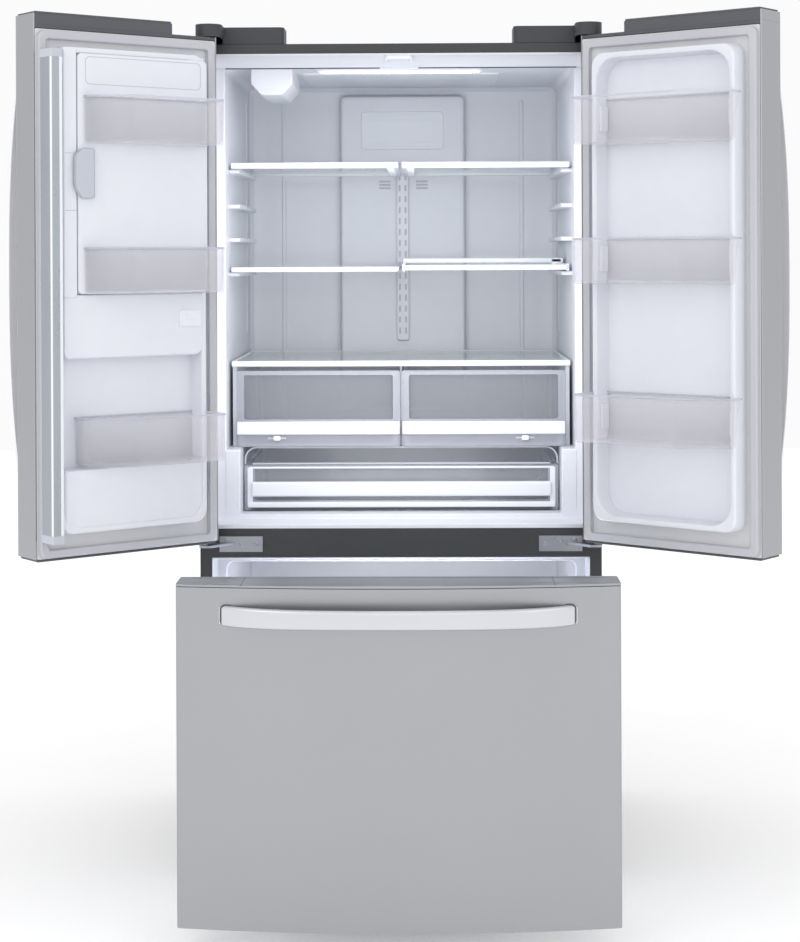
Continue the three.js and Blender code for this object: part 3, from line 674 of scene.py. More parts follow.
# Rolled aluminium fins.
FINS = Metal("rolled_aluminium_fins", "zinc_steel", "#C2C5C9", 0.4, 0.06, 0.05, 2.0, 0.02)
# Toughened float glass: a faint grey-green, strongest at the edge.
GLASS = Clear("toughened_glass", "shelf_glass", "#C9DAD9", 0.06, 0.02, 0.01, 40.0, 0.002, 0.12, 0.7)
# Clear moulded polystyrene: door baskets with a faint violet cast.
STYRENE = Clear("clear_moulded_polystyrene", "clear_plastic", "#E6E4EB", 0.12, 0.03, 0.02, 18.0, 0.01, 0.08,
                0.55)
# The drawers' clear polystyrene, cleaner and a little cooler.
TUB = Clear("clear_drawer_polystyrene", "clear_plastic", "#D8DCE6", 0.1, 0.03, 0.02, 18.0, 0.01, 0.1, 0.55)
# Smoke-tinted polystyrene: the hood over the lowest drawer.
SMOKE = Clear("smoked_polystyrene", "clear_plastic", "#A9B0BE", 0.1, 0.03, 0.03, 18.0, 0.01, 0.34, 0.75)
# Water-clear window fronts.
WINDOW = Clear("clear_window_polystyrene", "clear_plastic", "#D9DCE8", 0.06, 0.02, 0.02, 18.0, 0.005, 0.34,
               0.8)


@dataclass
class Assembly:
    """A sub-assembly that is drawn in one frame and dressed piece by piece.

    Attributes:
        datum: The frame that it is drawn in.
    """

    datum: Datum = field(default_factory=cabinet_datum)

    def dress(self, name: str, solid: Solid, finish: Finish, body: str, nodes: Sequence[str] = (),
              bevel: float = 0.8, segments: int = 2) -> bpy.types.Object:
        """Turns a solid into a finished piece of the model.

        Args:
            name: The piece's name.
            solid: Its shape, in the datum's millimetres.
            finish: Its surface.
            body: The CAD body that it moves with.
            nodes: The CAD nodes that it stands for.
            bevel: The width of its broken edges, in millimetres; 0 leaves them sharp.
            segments: How many segments a broken edge has.

        Returns:
            The object.
        """
        solid.bm.transform(self.datum.local)
        if self.datum.local.determinant() < 0:
            bmesh.ops.reverse_faces(solid.bm, faces=solid.bm.faces[:])
        mesh = bpy.data.meshes.new(name)
        solid.bm.to_mesh(mesh)
        solid.bm.free()
        mesh.shade_smooth()
        mesh.set_sharp_from_angle(angle=math.radians(SHARP))
        mesh.materials.append(finish.material())
        piece = bpy.data.objects.new(name, mesh)
        bpy.context.scene.collection.objects.link(piece)
        piece.matrix_world = self.datum.rigid
        if bevel:
            edge = piece.modifiers.new("broken_edges", "BEVEL")
            edge.limit_method = "ANGLE"
            edge.angle_limit = math.radians(SHARP)
            edge.width = bevel * MM
            edge.segments = segments
            edge.use_clamp_overlap = True
            edge.miter_outer = "MITER_ARC"
            even = piece.modifiers.new("even_shading", "WEIGHTED_NORMAL")
            even.keep_sharp = True
        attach(piece, body)
        if nodes:
            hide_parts(*nodes)
        log.info("%s on %s", name, body)
        return piece

    def bellows(self, b: Box, root: float, lips: Sequence[float]) -> Solid:
        """Sweeps a bellows seal's section round a face.

        Args:
            b: The seal's box.
            root: The level that the section's folds are measured from.
            lips: How far the magnet strip's outer lip, face and inner lip stand off the root.

        Returns:
            The seal.
        """
        outer, face, inner = lips
        foot = b.y0 - root + 0.1
        profile = [(0, foot), (0, 2.6), (2.2, 3.6), (0.8, 5.2), (0.6, outer), (2.6, face), (14, face),
                   (16, inner), (15.6, 6.4), (13.4, 5.0), (16.6, 3.4), (16.6, foot)]
        loops = [loop("y", root + d, b.span("y", t), max(14 - t * 0.5, 2), 6) for t, d in profile]
        return Solid().loft(loops, closed=True)


# ---------------------------------------------------------------- the cabinet


@dataclass
class Case(Assembly):
    """The painted steel cabinet with its base, feet, grille, back and the machinery behind it.

    Attributes:
        stamping: How far the back panel's pressed ribs stand out, in millimetres.
        rib_pitch: The spacing of those ribs.
        fin_pitch: The spacing of the condenser's fins.
    """

    stamping: float = 2.0
    rib_pitch: float = 128.0
    fin_pitch: float = 7.0

    def build(self) -> None:
        """Builds every piece of the case."""
        self.wrap()
        self.back_panel()
        self.base()
        self.grille()
        self.cooling()

    def wrap(self) -> None:
        """Folds the outer wrap with its front flange, and pours the foam behind it."""
        case = Solid().cad(self.datum, "outer_case")
        self.dress("cabinet_wrap", case, CASE_PAINT, "cabinet", ["outer_case"], 1.6, 3)
        foam = Solid().cad(self.datum, "insulation_foam")
        self.dress("cabinet_foam", foam, FOAM, "cabinet", ["insulation_foam"], 0.6, 1)

    def back_panel(self) -> None:
        """Presses ribs into the back and drives the screws round it."""
        b = self.datum.box("outer_case")
        ribs = Solid()
        z = 380.0
        while z < b.z1 - 120:
            low = loop("y", b.y1 - 0.2, (-300, 300, z, z + 26), 12.9)
            high = loop("y", b.y1 + self.stamping, (-295, 295, z + 5, z + 21), 7.9)
            ribs.loft([low, high])
            z += self.rib_pitch
        self.dress("back_panel_ribs", ribs, CASE_PAINT, "cabinet", (), 0.8, 2)
        screws = Solid()
        for side in (-1, 1):
            for z in (330, 700, 1100, 1500, 1705):
                screws.screw("y", (side * (b.x1 - 14), b.y1, z), 4.5, 1)
        for x in (-250, 0, 250):
            screws.screw("y", (x, b.y1, b.z1 - 14), 4.5, 1)
        self.dress("back_panel_screws", screws, ZINC, "cabinet", (), 0.3, 1)

    def base(self) -> None:
        """Builds the base pan and the screw feet under its front corners."""
        pan = Solid().cad(self.datum, "base_pan")
        self.dress("base_pan_pressed", pan, GALVANISED, "cabinet", ["base_pan"], 0.8, 2)
        for name in ("left", "right"):
            b = self.datum.box("levelling_foot_" + name)
            cx, cy = (b.x0 + b.x1) / 2, (b.y0 + b.y1) / 2
            foot = Solid()
            steps = [(0, 17.5), (1.2, 19.4), (8, 20), (12, 18.6), (14, 9)]
            foot.loft([ring("z", z, (cx, cy), r, 36) for z, r in steps])
            z = 13.0
            thread = []
            while z < b.z1 - 2.5:
                thread += [(z, 5.2), (z + 0.7, 6.2), (z + 1.4, 5.2)]
                z += 1.5
            foot.loft([ring("z", level, (cx, cy), r, 24) for level, r in thread])
            self.dress("foot_" + name, foot, DARK_PP, "cabinet", ["levelling_foot_" + name], 0.4, 2)

    def grille(self) -> None:
        """Builds the toe grille: a bar frame with upright slats."""
        b = self.datum.box("toe_grille")
        grille = Solid()
        grille.frame("y", b.span("y"), (b.x0 + 9, b.x1 - 9, b.z0 + 6, b.z1 - 6), b.y0, b.y1, (4, 2.5))
        count = 44
        for k in range(1, count):
            x = b.x0 + 9 + (b.x1 - b.x0 - 18) * k / count
            grille.box((x - 2.6, x + 2.6, b.y0 + 1, b.y1 - 1, b.z0 + 5, b.z1 - 5))
        self.dress("toe_grille_moulded", grille, DARK_PP, "cabinet", ["toe_grille"], 0.7, 2)

    def cooling(self) -> None:
        """Builds the machine cover with its louvres, the compressor, the condenser and their pipes."""
        b = self.datum.box("machine_cover")
        cover = Solid().cad(self.datum, "machine_cover")
        self.dress("machine_cover_pressed", cover, CASE_PAINT, "cabinet", ["machine_cover"], 0.0)
        screws = Solid()
        for x in (-390, -130, 130, 390):
            screws.screw("y", (x, b.y1, b.z1 - 10), 4.2, 1)
            screws.screw("y", (x, b.y1, b.z0 + 10), 4.2, 1)
        self.dress("machine_cover_screws", screws, ZINC, "cabinet", (), 0.3, 1)
        c = self.datum.box("compressor_and_condenser")
        x, y = -240.0, 606.0
        shell = Solid()
        levels = [(14, 40), (18, 66), (34, 80), (60, 84.5), (92, 85), (96, 85.6), (102, 85.6), (106, 84),
                  (150, 80), (180, 62), (196, 34), (200, 8)]
        shell.loft([ring("z", c.z0 + up, (x, y), r, 48) for up, r in levels])
        for sx in (-1, 1):
            shell.box((x + sx * 60 - 14, x + sx * 60 + 14, y - 70, y + 70, c.z0 + 4, c.z0 + 10), 10)
            for sy in (-1, 1):
                shell.rod("z", (x + sx * 60, y + sy * 56), 9, c.z0, c.z0 + 12)
        shell.box((x + 78, x + 100, y - 34, y + 34, c.z0 + 60, c.z0 + 130), 8, "x")
        self.dress("compressor_shell", shell, ENAMEL, "cabinet", ["compressor_and_condenser"], 0.6, 2)
        fins = Solid()
        y0, y1 = 544.0, 686.0
        at = 36.0
        while at < 364:
            fins.box((at, at + 0.7, y0, y1, c.z0 + 12, c.z1 - 6))
            at += self.fin_pitch
        self.dress("condenser_fins", fins, FINS, "cabinet", (), 0.0)
        pipes = Solid()
        rows = [c.z0 + 32 + 34 * k for k in range(int((c.z1 - c.z0 - 50) / 34) + 1)]
        for z in rows:
            for y in (575.0, 615.0, 655.0):
                pipes.rod("x", (y, z), 4.0, 32, 368, 12)
        gas = ((-200, 560, 110), (-180, 556, 150), (-110, 556, 168), (-30, 562, 150), (34, 575, 134))
        liquid = ((-190, 650, 90), (-150, 660, 70), (-50, 660, 40), (34, 655, 32))
        for bend, radius in ((gas, 3.6), (liquid, 4.4)):
            pipes.tube([(across, deep, c.z0 + up) for across, deep, up in bend], radius)
        self.dress("copper_pipes", pipes, COPPER, "cabinet", (), 0.0)


@dataclass
class Hinges(Assembly):
    """The pressed steel hinges on the cabinet and the moulded covers over the upper ones."""


    def build(self) -> None:
        """Builds the four hinges and the two covers."""
        for name, side in (("left", -1), ("right", 1)):
            self.upper(name)
            self.lower(name, side)
            self.cover(name, side)

    def upper(self, name: str) -> None:
        """Builds an upper hinge plate.

        Args:
            name: "left" or "right".
        """
        node = "upper_hinge_" + name
        plate = Solid().cad(self.datum, node)
        self.dress("upper_hinge_plate_" + name, plate, ZINC, "cabinet", [node], 0.8, 2)

    def lower(self, name: str, side: int) -> None:
        """Builds a lower hinge: a plate on the crossbar, its screws and the arm out to the pin.

        Args:
            name: "left" or "right".
            side: -1 or 1.
        """
        node = "lower_hinge_" + name
        plate = Solid().cad(self.datum, node)
        self.dress("lower_hinge_plate_" + name, plate, ZINC, "cabinet", [node], 0.9, 3)
        screws = Solid()
        for x in (300.0, 332.0, 360.0):
            screws.screw("y", (side * x, -4.2, 701 if x < 340 else 708), 5.0, -1)
        self.dress("lower_hinge_screws_" + name, screws, ZINC, "cabinet", (), 0.4, 2)

    def cover(self, name: str, side: int) -> None:
        """Builds a hinge cover with three shallow ribs along its top.

        Args:
            name: "left" or "right".
            side: -1 or 1.
        """
        node = "hinge_cover_" + name
        b = self.datum.box(node)
        cover = Solid().cad(self.datum, node)
        for k in range(3):
            x = side * (280 + 34 * k)
            cover.box((x - 8, x + 8, 26, 78, b.z1 - 2, b.z1 + 1.2), 7.9)
        cover.screw("z", (side * 376, 44, b.z1), 5.0, 1)
        self.dress("hinge_cover_moulded_" + name, cover, COVER_PP, "cabinet", [node], 1.6, 3)


@dataclass
class Liners(Assembly):
    """The two vacuum-formed compartments with what is fixed in them.

    Attributes:
        wall: The sheet's thickness, in millimetres.
        corner: The radius of a compartment's corners.
        creases: Where the pressed lines down the back wall stand.
        runners: The tops of the shelf runners on the side walls.
    """

    wall: float = 2.6
    corner: float = 16.0
    creases: tuple[float, ...] = (284.0,)
    runners: tuple[float, ...] = (1263.1, 1337.0, 1409.0, 1484.4)

    def build(self) -> None:
        """Builds the liners, the air duct, the lamp, the filter cover and the crossbar."""
        self.upper()
        self.lower()
        self.duct()
        self.lamp()
        self.filter_cover()
        self.crossbar()

    def shell(self, mouth: Box, body: Box, depth: float, flange: Sequence[float]) -> Solid:
        """Forms one compartment from its flange, its mouth and its body.

        Args:
            mouth: The span of the mouth; y1 is the step's depth.
            body: The span of the body; y1 is the back.
            depth: The level of the flange's face.
            flange: The flange's outer span.

        Returns:
            A closed shell.
        """
        w, r = self.wall, self.corner
        soft, inner = mouth.span("y"), body.span("y")
        loops = [
            loop("y", depth, flange, 3, 6),
            loop("y", depth, grown(soft, 2.0), 8, 6),
            loop("y", depth + 2.0, soft, 7, 6),
            loop("y", mouth.y1 - 6, soft, 9, 6),
            loop("y", mouth.y1 - 1.5, grown(soft, -2.0), 10, 6),
            loop("y", mouth.y1, grown(soft, -6.0), 11, 6),
            loop("y", mouth.y1, grown(inner, 2.0), r, 6),
            loop("y", mouth.y1 + 2.5, inner, r, 6),
            loop("y", body.y1 - r, inner, r, 6),
            loop("y", body.y1 - r * 0.3, grown(inner, -r * 0.3), r, 6),
            loop("y", body.y1, grown(inner, -r), r, 6),
            loop("y", body.y1, grown(inner, -r - 30), r, 6),
        ]
        solid = Solid()
        back = [
            loop("y", body.y1 + w, grown(inner, -r - 30), r, 6),
            loop("y", body.y1 + w, grown(inner, -r), r, 6),
            loop("y", body.y1 - r, grown(inner, w), r, 6),
            loop("y", mouth.y1 + w, grown(inner, w), r, 6),
            loop("y", mouth.y1 + w, soft, 9, 6),
            loop("y", depth + w, grown(soft, w), 7, 6),
            loop("y", depth + w, flange, 3, 6),
        ]
        rows = loops + back
        bm = solid.bm
        grid = [[bm.verts.new(p) for p in one] for one in rows]
        count = len(grid[0])
        cut = len(loops) - 1
        for k, (a, b) in enumerate(zip(grid, grid[1:] + grid[:1])):
            if k == cut:
                continue
            for n in range(count):
                m = (n + 1) % count
                bm.faces.new((a[n], a[m], b[m], b[n]))
        bm.faces.new(grid[cut])
        bm.faces.new(grid[cut + 1])
        bmesh.ops.recalc_face_normals(bm, faces=bm.faces[:])
        return solid

    def upper(self) -> None:
        """Forms the fresh food compartment with its cheeks, shelf runners and ceiling."""
        b = self.datum.box("fresh_food_liner")
        mouth = Box(-388, 388, 0, 70, 742, 1713)
        body = Box(-368, 368, 70, 640, 753, 1700)
        liner = self.shell(mouth, body, b.y0, (b.x0, b.x1, b.z0 - 5.6, b.z1))
        for side in (-1, 1):
            face = loop("x", side * 338.0, (73.5, 641, 750, 886), (0, 0, 3, 3), 4)
            edge = loop("x", side * 339.2, (71, 641, 750, 888.4), (0, 0, 4, 4), 4)
            root = loop("x", side * 341.6, (69.6, 641, 750, 889.4), (0, 0, 4, 4), 4)
            wall = loop("x", side * 369, (69.6, 641, 750, 889.4), (0, 0, 4, 4), 4)
            liner.loft([face, edge, root, wall])
            for top in self.runners:
                span = (150, 560, top - 9, top)
                tip = (156, 556, top - 7.5, top - 0.2)
                steps = ((344, tip, 3.5), (346, span, 4.4), (369, span, 4.4))
                liner.loft([loop("x", side * out, shape, r, 4) for out, shape, r in steps])
            for crease in self.creases:
                x = side * crease
                liner.loft([
                    loop("y", 641, (x - 7, x + 7, 905, 1670), 6.9, 4),
                    loop("y", 637.5, (x - 3, x + 3, 909, 1666), 2.9, 4),
                ])
            liner.box((side * 369 - 3, side * 369 + 3, 560, 574, 1120, 1660), 2.9, "z")
        self.dress("fresh_liner_formed", liner, LINER, "cabinet", ["fresh_food_liner"], 0.5, 2)
        guide = Solid()
        guide.box((-29, 29, 3, 39, 1705, 1712.9), 9, "z")
        guide.box((-29, -23, 3, 39, 1701, 1706), 2, "z")
        guide.box((23, 29, 3, 39, 1701, 1706), 2, "z")
        self.dress("mullion_guide", guide, WHITE_ABS, "cabinet", (), 0.8, 2)
        ceiling = Solid()
        ceiling.loft([
            loop("z", 1700.5, (-222, 222, 262, 600), 22, 6),
            loop("z", 1696.5, (-218, 218, 266, 596), 20, 6),
        ])
        self.dress("ceiling_plate", ceiling, LINER, "cabinet", (), 1.0, 2)
        section = [(10, 1713.4), (10, 1712.6), (57, 1693.6), (60, 1693), (66, 1693), (68, 1695), (68, 1713.4)]
        fascia = Solid().extrude("x", section, -384, 384)
        self.dress("ceiling_fascia", fascia, LINER, "cabinet", (), 1.0, 2)
        seam = Solid()
        for x0, x1 in ((-366, -41), (40, 372)):
            seam.box((x0, x1, 61.4, 64.6, 1690.6, 1693.6), 1.2, "x")
        self.dress("ceiling_seams", seam, DARK_PP, "cabinet", (), 0.0)

    def lower(self) -> None:
        """Forms the freezer compartment, its step over the machine space and the drawer's ledges."""
        b = self.datum.box("freezer_liner")
        mouth = Box(-388, 388, 0, 60, 79, 669)
        body = Box(-366, 366, 60, 640, 92, 655)
        liner = self.shell(mouth, body, b.y0, (b.x0, b.x1, b.z0, b.z1))
        hump = [(480, 88), (642, 88), (642, 323), (486, 323), (481.5, 321.5), (480, 317)]
        liner.extrude("x", hump, -367, 367)
        for side in (-1, 1):
            span = sorted((side * 350, side * 367))
            liner.box((span[0], span[1], 8, 470, 372, 392), 3, "y")
        self.dress("freezer_liner_formed", liner, LINER, "cabinet", ["freezer_liner"], 0.5, 2)

    def duct(self) -> None:
        """Builds the air duct down the back wall: a rounded cover, louvred vents and a ladder rail."""
        b = self.datum.box("duct_panel")
        front = 612.0
        duct = Solid()
        duct.loft([
            loop("y", b.y1, b.span("y"), 14, 6),
            loop("y", front + 8, b.span("y", 1), 14, 6),
            loop("y", front + 2, b.span("y", 5), 12, 6),
            loop("y", front, b.span("y", 11), 10, 6),
        ])
        duct.loft([
            loop("y", front + 1, (-14, 14, 1095, 1521), 4, 4),
            loop("y", b.y0 + 1, (-14, 14, 1097, 1519), 4, 4),
            loop("y", b.y0, (-13, 13, 1098, 1518), 3, 4),
        ])
        self.dress("duct_cover", duct, LINER, "cabinet", ["duct_panel"], 0.7, 2)
        vents = Solid()
        for x in (-42, 46):
            for z in (1458, 1466, 1474):
                vents.box((x - 14, x + 14, front - 0.8, front + 3, z - 2.2, z + 2.2), 2.0, "y")
        z = 1112.0
        while z < 1508:
            for side in (-1, 1):
                vents.box((side * 7 - 2.4, side * 7 + 2.4, b.y0 - 0.6, b.y0 + 2, z, z + 15), 2.0, "y")
            z += 26
        self.dress("duct_openings", vents, GREY_ABS, "cabinet", (), 0.5, 2)
        lid = Solid()
        lid.loft([
            loop("y", front + 1, (-98, 98, 1550, 1640), 8, 5),
            loop("y", front - 1.4, (-98, 98, 1550, 1640), 8, 5),
            loop("y", front - 2.4, (-96.6, 96.6, 1551.4, 1638.6), 7, 5),
        ])
        for z in (1560, 1570, 1620, 1630):
            lid.box((-80, 80, front - 3.6, front - 2, z - 2.4, z + 2.4), 2.3, "y")
        self.dress("air_filter_lid", lid, WHITE_ABS, "cabinet", (), 0.4, 2)

    def lamp(self) -> None:
        """Builds the strip lamp: a bezel and a lit diffuser."""
        b = self.datum.box("ceiling_lamp")
        bezel = Solid().frame("z", b.span("z"), b.span("z", 7), b.z0 + 1.5, b.z1, (11, 6), 5)
        self.dress("lamp_bezel", bezel, WHITE_ABS, "cabinet", ["ceiling_lamp"], 1.2, 3)
        lens = Solid().loft([
            loop("z", b.z1 - 1, b.span("z", 6.5), 6, 5),
            loop("z", b.z0 + 2, b.span("z", 8), 7, 5),
            loop("z", b.z0, b.span("z", 14), 8, 5),
        ])
        self.dress("lamp_diffuser", lens, DIFFUSER, "cabinet", (), 0.0)

    def filter_cover(self) -> None:
        """Builds the flap over the water filter, drawn in at both ends."""
        b = self.datum.box("filter_cover")
        ends = ((b.y0, 3.0), (b.y0 + 1.5, 0.8), (b.y0 + 5, 0.0), (b.y1 - 20, 0.0), (b.y1 - 6, 3.0),
                (b.y1, 8.0))
        cover = Solid().loft([lift("y", y, self.flap_line(b, drop)) for y, drop in ends])
        self.dress("filter_flap", cover, WHITE_ABS, "filter_cover", ["filter_cover"], 0.8, 3)

    def flap_line(self, b: Box, drop: float) -> Flat:
        """Draws the filter flap's section: upright sides, cut back and rounded below.

        Args:
            b: The flap's box.
            drop: How far the section is drawn in.

        Returns:
            The outline in x and z.
        """
        x0, x1, z0, z1 = b.x0 + drop, b.x1 - drop, b.z0 + drop, b.z1
        r = 12.0
        points = [(x1, z1), (x0, z1), (x0, z0 + 24)]
        for centre, start in ((x0 + 15 + r, 225), (x1 - 15 - r, 270)):
            for k in range(5):
                a = math.radians(start + 45 * k / 4)
                points.append((centre + r * math.cos(a), z0 + r + r * math.sin(a)))
        return [*points, (x1, z0 + 24)]

    def crossbar(self) -> None:
        """Covers the rail between the compartments with its painted front strip."""
        strip = Solid().box((-411, 411, -0.55, 0.4, 674, 732.2), 2.5, "y")
        self.dress("crossbar_strip", strip, CASE_PAINT, "cabinet", (), 0.5, 2)


# ---------------------------------------------------------------- shelves and drawers


@dataclass
class Shelves(Assembly):
    """Four glass shelves in white moulded frames; the lower right one has a front half that slides in.

    Attributes:
        lip: How deep the bright front trim is, in millimetres.
        rail: How wide the side rails are.
    """

    lip: float = 13.0
    rail: float = 9.0

    def build(self) -> None:
        """Builds each shelf."""
        self.whole("shelf_upper_left", "cabinet")
        self.whole("shelf_upper_right", "cabinet")
        self.whole("shelf_lower_left", "cabinet")
        self.split_rear()
        self.split_front()

    def trims(self, b: Box, low: float) -> Solid:
        """Draws a shelf's bright front trim, its side rails and its back rail.

        Args:
            b: The shelf's box.
            low: The lowest level of the rails.

        Returns:
            The trims.
        """
        lip = (b.y0, b.y0 + self.lip, b.z0, b.z1)
        trims = Solid().bar("x", b.x0, b.x1, 1.5, (grown(lip, -1), lip), (3, 3.6))
        for x0, x1 in ((b.x0, b.x0 + self.rail), (b.x1 - self.rail, b.x1)):
            trims.box((x0, x1, b.y0 + self.lip - 2, b.y1 - 1, low, b.z1 - 0.2), 1.5, "y")
        trims.box((b.x0 + 4, b.x1 - 4, b.y1 - 12, b.y1, low, b.z1), 3, "x")
        return trims

    def pane(self, b: Box, front: float) -> Solid:
        """Cuts a shelf's glass.

        Args:
            b: The shelf's box.
            front: Where the glass starts.

        Returns:
            The pane.
        """
        return Solid().box((b.x0 + 3, b.x1 - 3, front, b.y1 - 4, b.z1 - 5.6, b.z1 - 1.4), 4, "z")

    def whole(self, node: str, body: str) -> None:
        """Builds a full-depth shelf.

        Args:
            node: Its CAD node.
            body: The body that it moves with.
        """
        b = self.datum.box(node)
        trims = self.trims(b, b.z0 + 0.2)
        inner = b.x1 if b.x0 < 0 else b.x0
        reach = -1 if b.x0 < 0 else 1
        for y in (210.0, 330.0, 450.0, 560.0):
            span = sorted((inner, inner + reach * 26))
            trims.box((span[0], span[1], y - 4, y + 4, b.z0, b.z1 - 1.5), 3, "z")
        self.dress(node + "_trims", trims, BAND_ABS, body, [node], 0.6, 2)
        pane = self.pane(b, b.y0 + 6)
        self.dress(node + "_glass", pane, GLASS, body, (), 0.5, 2)

    def split_rear(self) -> None:
        """Builds the fixed rear half of the lower right shelf and the rails that the front runs in."""
        b = self.datum.box("shelf_lower_right_frame")
        rails = Solid()
        for x0, x1 in ((b.x0, b.x0 + 6), (b.x1 - 6, b.x1)):
            rails.box((x0, x1, b.y0, b.y1, b.z0, b.z0 + 16), 2, "y")
            rails.box((x0, x1, 332, b.y1, b.z0 + 10, b.z1), 2, "y")
        rails.box((b.x0 + 1, b.x1 - 1, 331, 341, b.z1 - 11, b.z1), 3, "x")
        rails.box((b.x0 + 3, b.x1 - 3, b.y1 - 12, b.y1, b.z1 - 11, b.z1), 3, "x")
        rails.box((b.x1 - 26, b.x1 - 5.5, 331, 352, b.z1 - 22, b.z1 - 2), 3, "y")
        self.dress("shelf_lower_right_rails", rails, BAND_ABS, "cabinet", ["shelf_lower_right_frame"], 0.6, 2)
        pane = self.pane(b, 335)
        self.dress("shelf_lower_right_rear_glass", pane, GLASS, "cabinet", (), 0.5, 2)

    def split_front(self) -> None:
        """Builds the sliding front half of the lower right shelf."""
        node = "shelf_lower_right_front"
        b = self.datum.box(node)
        trims = self.trims(b, b.z0 + 0.4)
        self.dress("shelf_slide_trims", trims, BAND_ABS, "sliding_shelf", [node], 0.6, 2)
        pane = self.pane(b, b.y0 + 6)
        self.dress("shelf_slide_glass", pane, GLASS, "sliding_shelf", (), 0.5, 2)


@dataclass
class Crispers(Assembly):
    """Two clear crisper drawers under a glass-topped frame, with humidity sliders in their bands.

    Attributes:
        skin: The drawers' wall, in millimetres.
        taper: How much narrower a drawer is at its floor, each side.
    """

    skin: float = 2.6
    taper: float = 5.0

    def build(self) -> None:
        """Builds the frame, both drawers and their sliders."""
        self.frame_over()
        for name in ("left", "right"):
            self.drawer(name)
            self.slider(name)

    def frame_over(self) -> None:
        """Builds the white frame over the crispers, its glass and the smoked hood below them."""
        b = self.datum.box("crisper_frame")
        top = 1073.0
        lip = (b.y0, b.y0 + 16, top - 12.3, top)
        small = (b.y0 + 1, b.y0 + 15, top - 11.5, top - 0.8)
        trims = Solid().bar("x", b.x0, b.x1, 1.5, (small, lip), (3, 4))
        for x0, x1 in ((b.x0, b.x0 + 8), (b.x1 - 8, b.x1)):
            trims.box((x0, x1, b.y0 + 14, b.y1, top - 14, top), 1.5, "y")
        trims.box((b.x0 + 3, b.x1 - 3, b.y1 - 12, b.y1, top - 14, top), 3, "x")
        trims.box((-5, 5, b.y0 + 14, b.y1 - 6, top - 13, top - 6.5), 1.5, "y")
        self.dress("crisper_shelf_trims", trims, BAND_ABS, "cabinet", ["crisper_frame"], 0.6, 2)
        pane = Solid().box((b.x0 + 4, b.x1 - 4, b.y0 + 8, b.y1 - 4, top - 5.8, top - 1.2), 4, "z")
        self.dress("crisper_shelf_glass", pane, GLASS, "cabinet", (), 0.5, 2)
        posts = Solid()
        for x0, x1 in ((b.x0, b.x0 + 9.5), (b.x1 - 9.5, b.x1)):
            posts.box((x0, x1, 152, b.y1, 889.5, top - 12), 2.5, "z")
        posts.box((-1.6, 1.6, 152, b.y1, 889.5, top - 12), 1.0, "z")
        self.dress("crisper_side_walls", posts, WHITE_ABS, "cabinet", (), 0.5, 2)
        half, low, high, r, skin = 335.0, 853.2, 889.5, 26.0, self.skin
        outside = self.hood_line(half, low, high, r)
        inside = self.hood_line(half - skin, low, high - skin, r - skin)
        hood = Solid().extrude("y", outside + inside[::-1], 133, 590)
        self.dress("pantry_hood", hood, SMOKE, "cabinet", (), 0.4, 2)
        line = Solid().box((-318, 318, 131.5, 133.5, 851.6, 855.2), 1.5, "y")
        rim = self.hood_line(half - 3.2, low, high - 3.2, r - 3)
        line.extrude("y", outside + rim[::-1], 131.5, 135.5)
        self.dress("pantry_hood_rim", line, GREY_ABS, "cabinet", (), 0.4, 2)

    def hood_line(self, x: float, low: float, high: float, r: float) -> Flat:
        """Draws half the hood's section: up one side, over and down the other.

        Args:
            x: Half its width.
            low: Its lowest level.
            high: Its highest level.
            r: The radius of its shoulders.

        Returns:
            An open line in x and z.
        """
        points = [(-x, low)]
        for centre, start in ((-x + r, 180), (x - r, 90)):
            for k in range(9):
                a = math.radians(start - 90 * k / 8)
                points.append((centre + r * math.cos(a), high - r + r * math.sin(a)))
        return [*points, (x, low)]

    def tub(self, b: Box, floor: float, top: float, radius: float) -> Solid:
        """Forms an open drawer body with drafted walls and rounded corners.

        Args:
            b: Its span in x and y.
            floor: The level of its underside.
            top: The level of its rim.
            radius: Its upright corners' radius.

        Returns:
            The body.
        """
        t, s = self.taper, self.skin

        def at(z: float, d: float, r: float = radius) -> Loop:
            """Draws the drawer's outline at one level, drawn in by d."""
            return loop("z", z, (b.x0 + d, b.x1 - d, b.y0 + d * 0.4, b.y1 - d), r, 5)

        return Solid().loft([
            at(floor, t + 5), at(floor + 1.6, t + 1.5), at(floor + 6, t), at(top - 8, 1.2), at(top - 6, 0),
            at(top, 0), at(top, 3.4, radius - 2), at(floor + 8, t + s, radius - 2),
            at(floor + s, t + s + 5, radius - 2),
        ])

    def drawer(self, name: str) -> None:
        """Builds one crisper: its tub, its framed window, its white band and the strip below.

        Args:
            name: "left" or "right".
        """
        node = body = "crisper_" + name
        b = self.datum.box(node)
        x0, x1 = b.x0 + 6, b.x1 - 6
        tub = self.tub(Box(x0, x1, 148, b.y1, 894, 1050), 894, 1049, 12)
        self.dress(node + "_tub", tub, TUB, body, [node], 0.4, 2)
        front = WINDOW_FRONT
        border = Solid()
        border.frame("y", b.span("y"), (b.x0 + 15, b.x1 - 15, 948, b.z1 - 9), front, 146, (4, 5), 5)
        strip, gap = (x0, x1, b.z0 + 2, 921), (x0 + 10, x1 - 10, b.z0 + 8, 914)
        border.frame("y", strip, gap, front + 2, 144, (3, 3), 4)
        self.dress(node + "_window_frame", border, WINDOW, body, (), 0.7, 2)
        pane = Solid().box((b.x0 + 13, b.x1 - 13, front + 5, front + 8, 900, b.z1 - 7), 3, "y")
        self.dress(node + "_window", pane, TUB, body, (), 0.3, 1)
        y = b.y0 + 0.2
        spans = (y + 1.5, front + 6, 917, 943), (y, front + 7, 916, 944)
        band = Solid().bar("x", b.x0 + 1, b.x1 - 1, 1.5, spans, (3, 4))
        self.dress(node + "_band", band, BAND_ABS, body, (), 0.6, 2)
        centre = -265 if name == "left" else 265
        slot = Solid().box((centre - 20, centre + 20, front - 0.6, front + 3, 906.5, 910.5), 1.9, "y")
        self.dress(node + "_vent_slot", slot, GREY_ABS, body, (), 0.4, 2)

